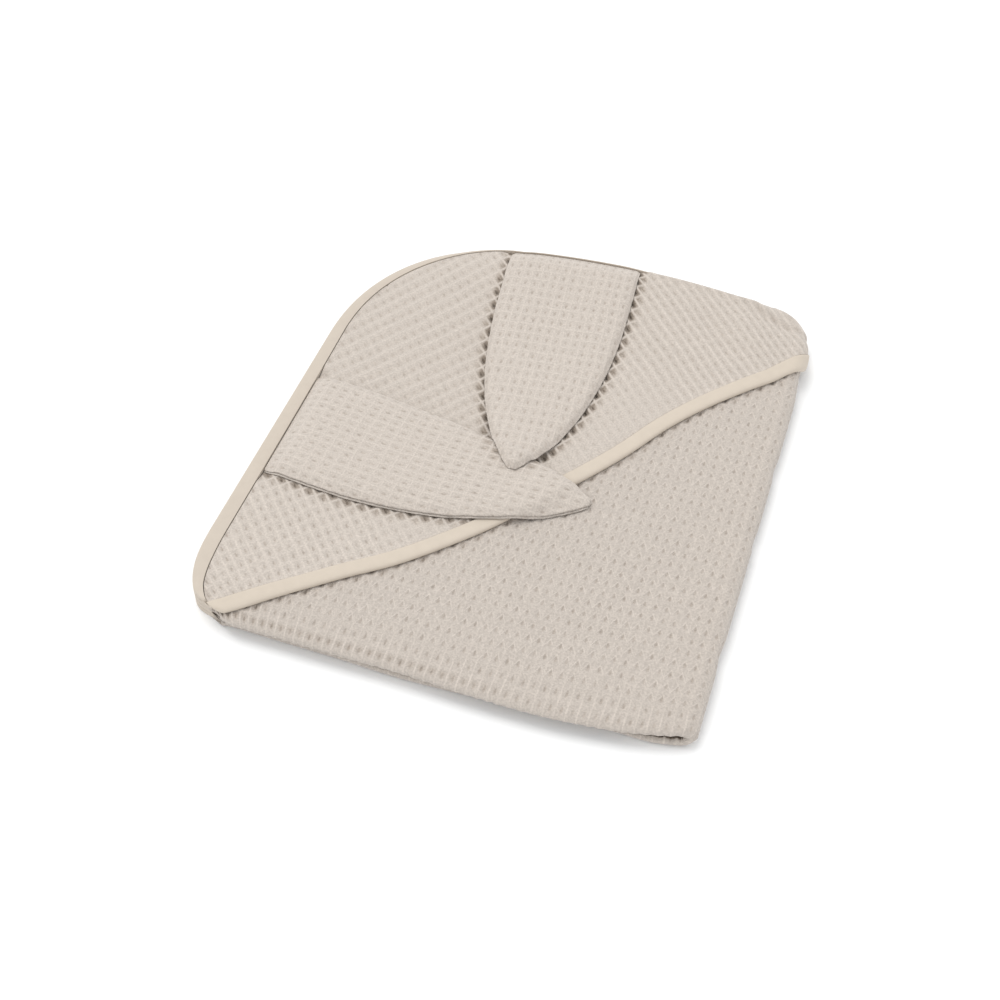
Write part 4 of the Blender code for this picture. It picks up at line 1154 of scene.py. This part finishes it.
def left_ear_cover(x, y):
    """Thickness of the left ear, sloped off beyond its rim, for the right ear that crosses it."""
    inside = left_of(LEFT_EAR_RIM, x, y)
    full = 2.0 * EAR_WALL + EAR_PUFF + 2.0 * SEAT
    thin = 2.0 * EAR_RIM_WALL + 2.0 * SEAT
    cover = mix(thin, full, smooth(inside / EAR_RIM_SPAN))
    return cover * ramp(inside, *CROSSING_SLOPE)


def from_base(x, y):
    """Distance of a plan point from the seam that holds the ears' bases."""
    return -left_of(HOOD_SEAM_LINE, x, y)


def ear_seat(name, x, y):
    """Height of an ear's lower side."""
    height = core_top(x, y) + hood_cover(x, y) + relief(x, y)
    height = height + mix(EAR_BASE_SEAT, EAR_SEAT, ramp(from_base(x, y), *EAR_BASE))
    if name == "ear_right":
        height = height + left_ear_cover(x, y)
    return height


def panel_wall(rim, base):
    """A panel's thickness: thin where it is sewn into the seam, and rounded off at its rim."""
    wall = mix(EAR_RIM_WALL, EAR_WALL, smooth(rim / EAR_RIM_SPAN))
    wall = wall * mix(EAR_BASE_SHARE, 1.0, ramp(base, *EAR_BASE))
    return wall * mix(EAR_EDGE_SHARE, 1.0, ease_out(rim / EAR_EDGE_SPAN))


def ear_panel(name, front):
    """One of an ear's two panels."""
    ear = EARS[name]
    wrapped = name == "ear_right"  # its front panel rolls over the back one's rim
    if wrapped:
        inset = 0.0 if front else EAR_WRAP
    else:
        inset = EAR_FRONT_INSET if front else 0.0
    seed = EAR_SEED + NEXT_EAR_SEED * list(EARS).index(name) + front
    rim_line = ear_rim(ear, inset)
    base, _, tip = ear
    square = np.subtract(tip, base) / math.dist(tip, base)
    fine = np.linspace(0.0, 1.0, EAR_FINE_POINTS)
    lengths = lengths_along(*curve_point(ear, fine)[0].T)

    def plan(u, v):
        along = v * CELL_LONG
        t = np.interp(along, lengths, fine)
        at, way = curve_point(ear, t)
        at = at + way * (along - np.clip(along, 0.0, lengths[-1]))[..., None]
        across = u * CELL_SHORT
        return wander(seed, at[..., 0] - square[1] * across, at[..., 1] + square[0] * across)

    def inside(x, y):
        rim = left_of(rim_line, x, y)
        rim = rim - RIM_WAVE * (1.0 + uneven(seed + RIM_SEED, x, y, RIM_WAVE_SPAN))
        return np.minimum(rim, from_base(x, y))

    def lower(x, y):
        height = ear_seat(name, x, y)
        if front:
            rim = left_of(rim_line, x, y)
            under = panel_wall(rim + EAR_FRONT_INSET, from_base(x, y)) + SEAT
            if wrapped:
                under = under * smooth((rim - 0.5 * EAR_WRAP) / EAR_WRAP)
            height = height + under
        return height

    def outer(u, v, x, y):
        pit = EAR_PIT_SHARE * pit_at(u, v, seed)
        rim = inside(x, y)
        wall = panel_wall(rim, from_base(x, y))
        height = lower(x, y) + wall
        if front:
            height = height + EAR_PUFF * smooth(rim / EAR_PUFF_SPAN)
        height = height - pit_depth(pit, rim, wall)
        shade = 0.0 * x
        # Shade is painted into the left ear's front panel beside the right ear; its pits are not
        # deepened.
        if front and not wrapped:
            shade = EARS_CROSS_SHADE[0] * beside(RIGHT_EAR_RIM, x, y, EARS_CROSS_SHADE[1])
            shade = shade * ramp(y, *EARS_CROSS_Y)
        return np.stack([x, y, height], axis=-1), pit * (1.0 + shade), shade

    def inner(x, y):
        return np.stack([x, y, lower(x, y)], axis=-1)

    rows = EAR_CELL_ROWS if front else EAR_BACK_STEPS
    columns = EAR_CELL_STEPS if front else EAR_BACK_STEPS
    label = name + ("_front" if front else "_back")
    return shell(label + "_cloth", grid_lines(*EAR_COLUMNS, columns),
                 grid_lines(*EAR_LINES, rows), plan, inside, outer, inner, EAR_CARRIED_AT)


# ---- tapes
def swept(name, sections):
    """A closed strip from an array of sections."""
    rows, columns = sections.shape[:2]
    number = np.arange(rows * columns).reshape(rows, columns)
    turned = np.roll(number, -1, axis=1)
    faces = np.stack([number[:-1], turned[:-1], turned[1:], number[1:]], axis=-1)
    faces = faces.reshape(-1, 4).tolist() + [number[0].tolist(), number[-1].tolist()]
    mesh = bpy.data.meshes.new(name)
    mesh.from_pydata(in_frame(sections).reshape(-1, 3).tolist(), [], faces)
    work = bmesh.new()
    work.from_mesh(mesh)
    bmesh.ops.remove_doubles(work, verts=work.verts, dist=MERGE_TAPE)
    return finished(work, mesh, SHARP_TAPE)


def tape_section(low, high, rise, width):
    """Outward distance and height round a bound edge, for arrays of stations."""
    low, high, rise, width = (np.asarray(value, float)[:, None]
                              for value in (low, high, rise, width))
    flat = np.linspace(0.0, 1.0, TAPE_FLAT_POINTS)[None, :]
    angle = np.linspace(-0.5 * math.pi, 0.5 * math.pi, TAPE_NOSE_POINTS)[None, :]
    under_out = mix(-width, -TAPE_NOSE, flat)
    nose_out = -TAPE_NOSE + TAPE_NOSE * np.cos(angle) ** TAPE_NOSE_POWER
    over_out = mix(-TAPE_NOSE, -width, flat)
    crown = TAPE_FULLNESS + TAPE_CROWN * rise
    over = mix(high, high + rise, flat) + crown * np.sin(math.pi * flat)
    middle = 0.5 * (low + high)
    nose = middle + (high - middle) * np.sin(angle)
    out = np.concatenate([under_out[:, :-1], nose_out + 0.0 * low, over_out[:, 1:]], axis=1)
    height = np.concatenate([low + 0.0 * under_out[:, :-1], nose, over[:, 1:]], axis=1)
    return out, height


def levels_at(front, run, fold):
    """Lower and upper heights of a bound edge at the stations."""
    at_front = 1.0 - smooth(STATIONS["along"] / LEVEL_BLEND_FRONT)
    at_fold = 1.0 - smooth(STATIONS["to_end"] / LEVEL_BLEND_FOLD)
    return [r + (a - r) * at_front + (b - r) * at_fold for a, r, b in zip(front, run, fold)]


def turned_section(height, centre, step, flatten=1.0):
    """A tape's section this many steps round a level: how far out it lies, and how high."""
    angle = 0.5 * math.pi * step / TURN_STEPS
    arm = flatten * (np.abs(height - centre) - 0.5 * SEAM)
    side = np.sign(height.mean() - centre)
    return arm * math.sin(angle), centre + side * (0.5 * SEAM + arm * math.cos(angle))


def edge_tape(order, front, run, fold):
    """One bound edge: round the front roll at one end and the right fold at the other."""
    low, high = levels_at(front, run, fold)
    rise = 0.0 * low
    if order == 3:
        rise = STATIONS["rise"]
        high = high - TUCK * TUCKED
    x, y, normal_x, normal_y, width = (STATIONS[key] for key in ("x", "y", "nx", "ny", "width"))
    out, height = tape_section(low, high, rise, width)
    sections = [np.stack([x[:, None] + normal_x[:, None] * out,
                          y[:, None] + normal_y[:, None] * out, height], axis=-1)]

    pair = BOUND_EDGES[order ^ 1][1]
    bottom, top = min(front[0], pair[0]), max(front[1], pair[1])
    squeeze = 1.0 - FOLD_END_SQUEEZE * smooth(1.0 + out[-1] / width[-1])
    for step in range(1, TURN_STEPS + 1):
        taper = float(smooth(step / TURN_TAPER_STEPS))
        forward = (ROLL_LINE - ROLL_RADIUS) * min(2.0 * step / TURN_STEPS, 1.0)
        arm, level = turned_section(height[0], 0.5 * (bottom + top), step,
                                    mix(1.0, TURN_FLATTEN, taper))
        arm = 2.0 * ROLL_RADIUS / (top - bottom) * arm
        sections.insert(0, np.stack([-out[0] * mix(1.0, TURN_TAPER, taper),
                                     ROLL_LINE - forward - arm, level], axis=-1)[None])
        arm, level = turned_section(height[-1], 0.5 * EDGE_STACK, step)
        arm = 2.0 * FOLD_RADIUS / EDGE_STACK * squeeze * arm
        sections.append(np.stack([x[-1] + arm, y[-1] + out[-1], level], axis=-1)[None])
    return swept(f"edge_tape_{order + 1}", np.concatenate(sections))


def hem_tape():
    """The tape folded over the hood's open edge."""
    across, lift = HEM_SECTION.T
    x = mix(HEM_LINE[:, None, 0], HEM_UPPER_LINE[:, None, 0], across)
    y = mix(HEM_LINE[:, None, 1], HEM_UPPER_LINE[:, None, 1], across)
    return swept("hem_tape", towel_point(x, y, SEAT + HEM_THICKNESS * lift + 0.0 * x))


# ---- materials
def new_material(name):
    material = bpy.data.materials.new(name)
    material.use_nodes = True
    tree = material.node_tree
    return material, tree, tree.nodes["Principled BSDF"]


def set_inputs(shader, values):
    """Sets a shader's own sockets."""
    for socket, value in values.items():
        shader.inputs[socket].default_value = value


def node(tree, kind, settings=None, **inputs):
    """A shader node with its settings, and inputs that are numbers, sockets or Values."""
    made = tree.nodes.new(kind)
    for key, value in (settings or {}).items():
        setattr(made, key, value)
    for key, value in inputs.items():
        socket = made.inputs[int(key[1:])] if key[0] == "_" else made.inputs[key]
        value = value.socket if isinstance(value, Value) else value
        if isinstance(value, bpy.types.NodeSocket):
            tree.links.new(value, socket)
        else:
            socket.default_value = value
    return made


def noise(tree, scale, detail):
    """Noise in the piece's own space, with this many bumps in a metre."""
    space = node(tree, "ShaderNodeTexCoord")
    made = node(tree, "ShaderNodeTexNoise", Vector=space.outputs["Object"], Scale=scale,
                Detail=detail)
    return Value(tree, made.outputs["Fac"])


def between(tree, share, colour, factors):
    """A colour where a share is 0, and its channels times some factors where it is 1."""
    other = [channel * factor for channel, factor in zip(colour, factors)]
    return node(tree, "ShaderNodeMix", {"data_type": "RGBA"}, _0=share, _6=(*colour, 1.0),
                _7=(*other, 1.0)).outputs[2]


def clothed(material, shader, colour, bump, height, values):
    """A cloth's material with its colour, the strength and depth of its bumps, and its finish."""
    tree = material.node_tree
    tree.links.new(colour, shader.inputs["Base Color"])
    raised = node(tree, "ShaderNodeBump", Strength=bump[0], Distance=bump[1], Height=height)
    tree.links.new(raised.outputs["Normal"], shader.inputs["Normal"])
    set_inputs(shader, values)
    return material


def from_rib(cells):
    """1 on the ribs, 0 in the middle of a cell."""
    return abs(2.0 * cells.maths("FRACT") - 1.0)


def waffle_material(name, colour, zigzag, cross_ribs, lightens, straight_rows=NO_ROWS,
                    rib_from=0.70, of_hood=False):
    """Cotton waffle: fine yarns round pits, mottled, with a faint nap; painted highlight lightens the
    yarns and painted shade darkens the pits, partly for their own look.

    The long yarns run in zigzags over the cells where zigzag is 1, and along the ribs where it is 0,
    as they do in the rows of cells before straight_rows. These yarns get painted highlight, partly
    for their fuzzier floats: cross_ribs is its share on the other ribs, and lightens what it adds to
    the colour.
    """
    material, tree, shader = new_material(name)
    cloth, shade = (node(tree, "ShaderNodeAttribute", {"attribute_name": layer})
                    for layer in ("cloth", "shade"))
    parts = node(tree, "ShaderNodeSeparateXYZ", Vector=cloth.outputs["Vector"])
    u, v, pit = (Value(tree, parts.outputs[axis]) for axis in "XYZ")
    shade = Value(tree, shade.outputs["Fac"])
    across = from_rib(u)
    along = from_rib(v)
    back = v.maths("FRACT")
    yarn = ramp(noise(tree, *YARN), *YARN_STEP)
    patch = ramp(noise(tree, *PATCHES), *PATCH_STEP)
    zigzag = zigzag * ramp(v, straight_rows, straight_rows + ZIGZAG_ROWS)

    # A pit's hole is darkened: painted shade, partly its denser yarn.
    wide, narrow, half_length = HOLE_SEEN
    hole = (across / mix(wide, narrow, back)) ** 2.0 + (along / half_length) ** 2.0
    hole = ramp(hole.maths("SQRT"), *HOLE_STEP) * pit

    furrow = row = faint = 0.0
    if of_hood:
        furrow, row, faint = ramp(u, *FURROWS), zone(u, v, *ROWS), zone(u, v, *FAINT)
    # Painted highlight, partly the floats' fuzzier yarn: light on the ribs and on the zigzag yarns.
    cross = cross_ribs * (1.0 - RIB_HIDDEN * furrow) + RIB_RAISED * row
    cross = cross * ramp(along, *CROSS_RIB_STEP)
    ribs = ramp(across, rib_from, RIB_FULL) * (1.0 - RIB_HIDDEN * row)
    ribs = ribs.maths("MAXIMUM", cross) * (1.0 - FAINT_SHARE * faint)
    line = ramp(abs(back - mix(*ZIGZAG, across)), *ZIGZAG_YARN) * zigzag
    light = (ribs * (1.0 - ZIGZAG_HIDES * zigzag)).maths("MAXIMUM", line)
    light = light * mix(PATCH_LEAST, 1.0, patch)

    # Shade is painted into the wide mouth of a cell where the shade value is set, and over the whole
    # cloth where it is high, as in the groove.
    mouth = ramp(across, *MOUTH_ACROSS) * ramp(along, *MOUTH_ALONG)
    mouth = mouth.maths("MAXIMUM", ramp(shade, *MOUTH_FILLED))
    # Painted shade along the hood's furrows and rows.
    painted_furrow_shade = furrow * ramp(across, *VALLEY_STEP)
    painted_furrow_shade = painted_furrow_shade.maths("MAXIMUM", row * ramp(along, *VALLEY_STEP))
    painted_shade_and_pit_tone = SHADE_DARKENS * mouth * shade + PIT_DARKENS * hole + FURROW_DARKENS * painted_furrow_shade
    # The colour is lifted by painted highlight, mottled, and lowered by painted shade.
    bright = 1.0 + lightens * (light - LIGHT_MEAN) + MOTTLING * (yarn - 0.5)
    bright = bright - painted_shade_and_pit_tone.maths("MINIMUM", DARKEST)
    tint = between(tree, painted_shade_and_pit_tone, colour, WARM_SHADE)
    shaded = node(tree, "ShaderNodeVectorMath", {"operation": "SCALE"}, Vector=tint,
                  Scale=bright).outputs[0]
    height = LIGHT_BUMP * light + yarn - HOLE_BUMP * hole
    return clothed(material, shader, shaded, WAFFLE_BUMP, height, WAFFLE_FINISH)


def tape_material(name, colour):
    """Smooth plain-woven cotton tape."""
    material, tree, shader = new_material(name)
    mottled = between(tree, noise(tree, *TAPE_PATCHES), colour, TAPE_SHADE)
    height = noise(tree, *TAPE_YARN)
    return clothed(material, shader, mottled, TAPE_BUMP, height, TAPE_FINISH)


# ---- putting it together
def stage():
    """Floor, lights and camera."""
    mesh = bpy.data.meshes.new("floor")
    corners = [(x * FLOOR_SIZE, y * FLOOR_SIZE, 0.0) for x, y in ((-1, -1), (1, -1), (1, 1), (-1, 1))]
    mesh.from_pydata(corners, [], [(0, 1, 2, 3)])
    floor = placed("floor", mesh)
    floor.location.z = FLOOR_Z
    material, _, shader = new_material("floor_paper")
    set_inputs(shader, {"Base Color": (*FLOOR_COLOUR, 1.0), "Roughness": 0.9})
    mesh.materials.append(material)

    scene = bpy.context.scene
    scene.view_settings.view_transform = "Standard"
    scene.world = bpy.data.worlds.new("studio")
    scene.world.use_nodes = True
    set_inputs(scene.world.node_tree.nodes["Background"],
           {"Color": (*ROOM_COLOUR, 1.0), "Strength": ROOM_STRENGTH})

    light = bpy.data.lights.new("softbox", "SUN")
    light.energy = SUN_ENERGY
    light.color = SUN_COLOUR
    light.angle = math.radians(SUN_WIDTH)
    placed("softbox", light).rotation_euler = Vector(SUN_FROM).to_track_quat("Z", "Y").to_euler()

    camera = bpy.data.cameras.new("camera")
    camera.sensor_width = SENSOR
    camera.lens = LENS
    pitch = math.radians(CAMERA_PITCH)
    azimuth = math.radians(CAMERA_AZIMUTH)
    away = Vector((math.sin(azimuth) * math.cos(pitch), -math.cos(azimuth) * math.cos(pitch),
                   math.sin(pitch)))
    corner = Vector((CAD_BOX[0].x, CAD_BOX[1].y - BACK_CREST_Y, 0.0))
    scene.camera = placed("camera", camera)
    scene.camera.location = corner + Vector(CAMERA_AIM) + CAMERA_DISTANCE * away
    scene.camera.rotation_euler = away.to_track_quat("Z", "Y").to_euler()


def dress(thing, material, slot, *nodes):
    """Gives a piece its material, and the body and nodes it stands for; slot is not used."""
    thing.data.materials.clear()
    thing.data.materials.append(material)
    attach(thing, "root")
    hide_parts(*nodes)


def build():
    stage()
    towel_finish = waffle_material("waffle_towel", TOWEL_COLOUR, zigzag=0.9, cross_ribs=0.35,
                                   lightens=0.165, straight_rows=1.0)
    hood_finish = waffle_material("waffle_hood", HOOD_COLOUR, zigzag=0.0, cross_ribs=0.60,
                                  lightens=0.13, rib_from=0.5, of_hood=True)
    ear_finish = waffle_material("waffle_ear", EAR_COLOUR, zigzag=0.2, cross_ribs=1.0,
                                 lightens=0.11)
    hem_finish = tape_material("hem_tape", HEM_COLOUR)
    tape_finish = tape_material("binding_tape", BINDING_COLOUR)

    towel, towel_area = towel_cloth()
    dress(towel, towel_finish, "waffle_towel", "towel_body")
    hood, hood_area = hood_cloth()
    dress(hood, hood_finish, "waffle_hood", "hood_panel")
    hem = hem_tape()
    dress(hem, hem_finish, "binding_tape", "hood_hem_binding")
    for order, (name, front, run, fold) in enumerate(BOUND_EDGES):
        tape = edge_tape(order, front, run, fold)
        dress(tape, tape_finish, "binding_tape", name)
    for name in EARS:
        for front in (False, True):
            panel, area = ear_panel(name, front)
            node_name = name + ("_front" if front else "_back")
            dress(panel, ear_finish, "waffle_ear", node_name)


build()
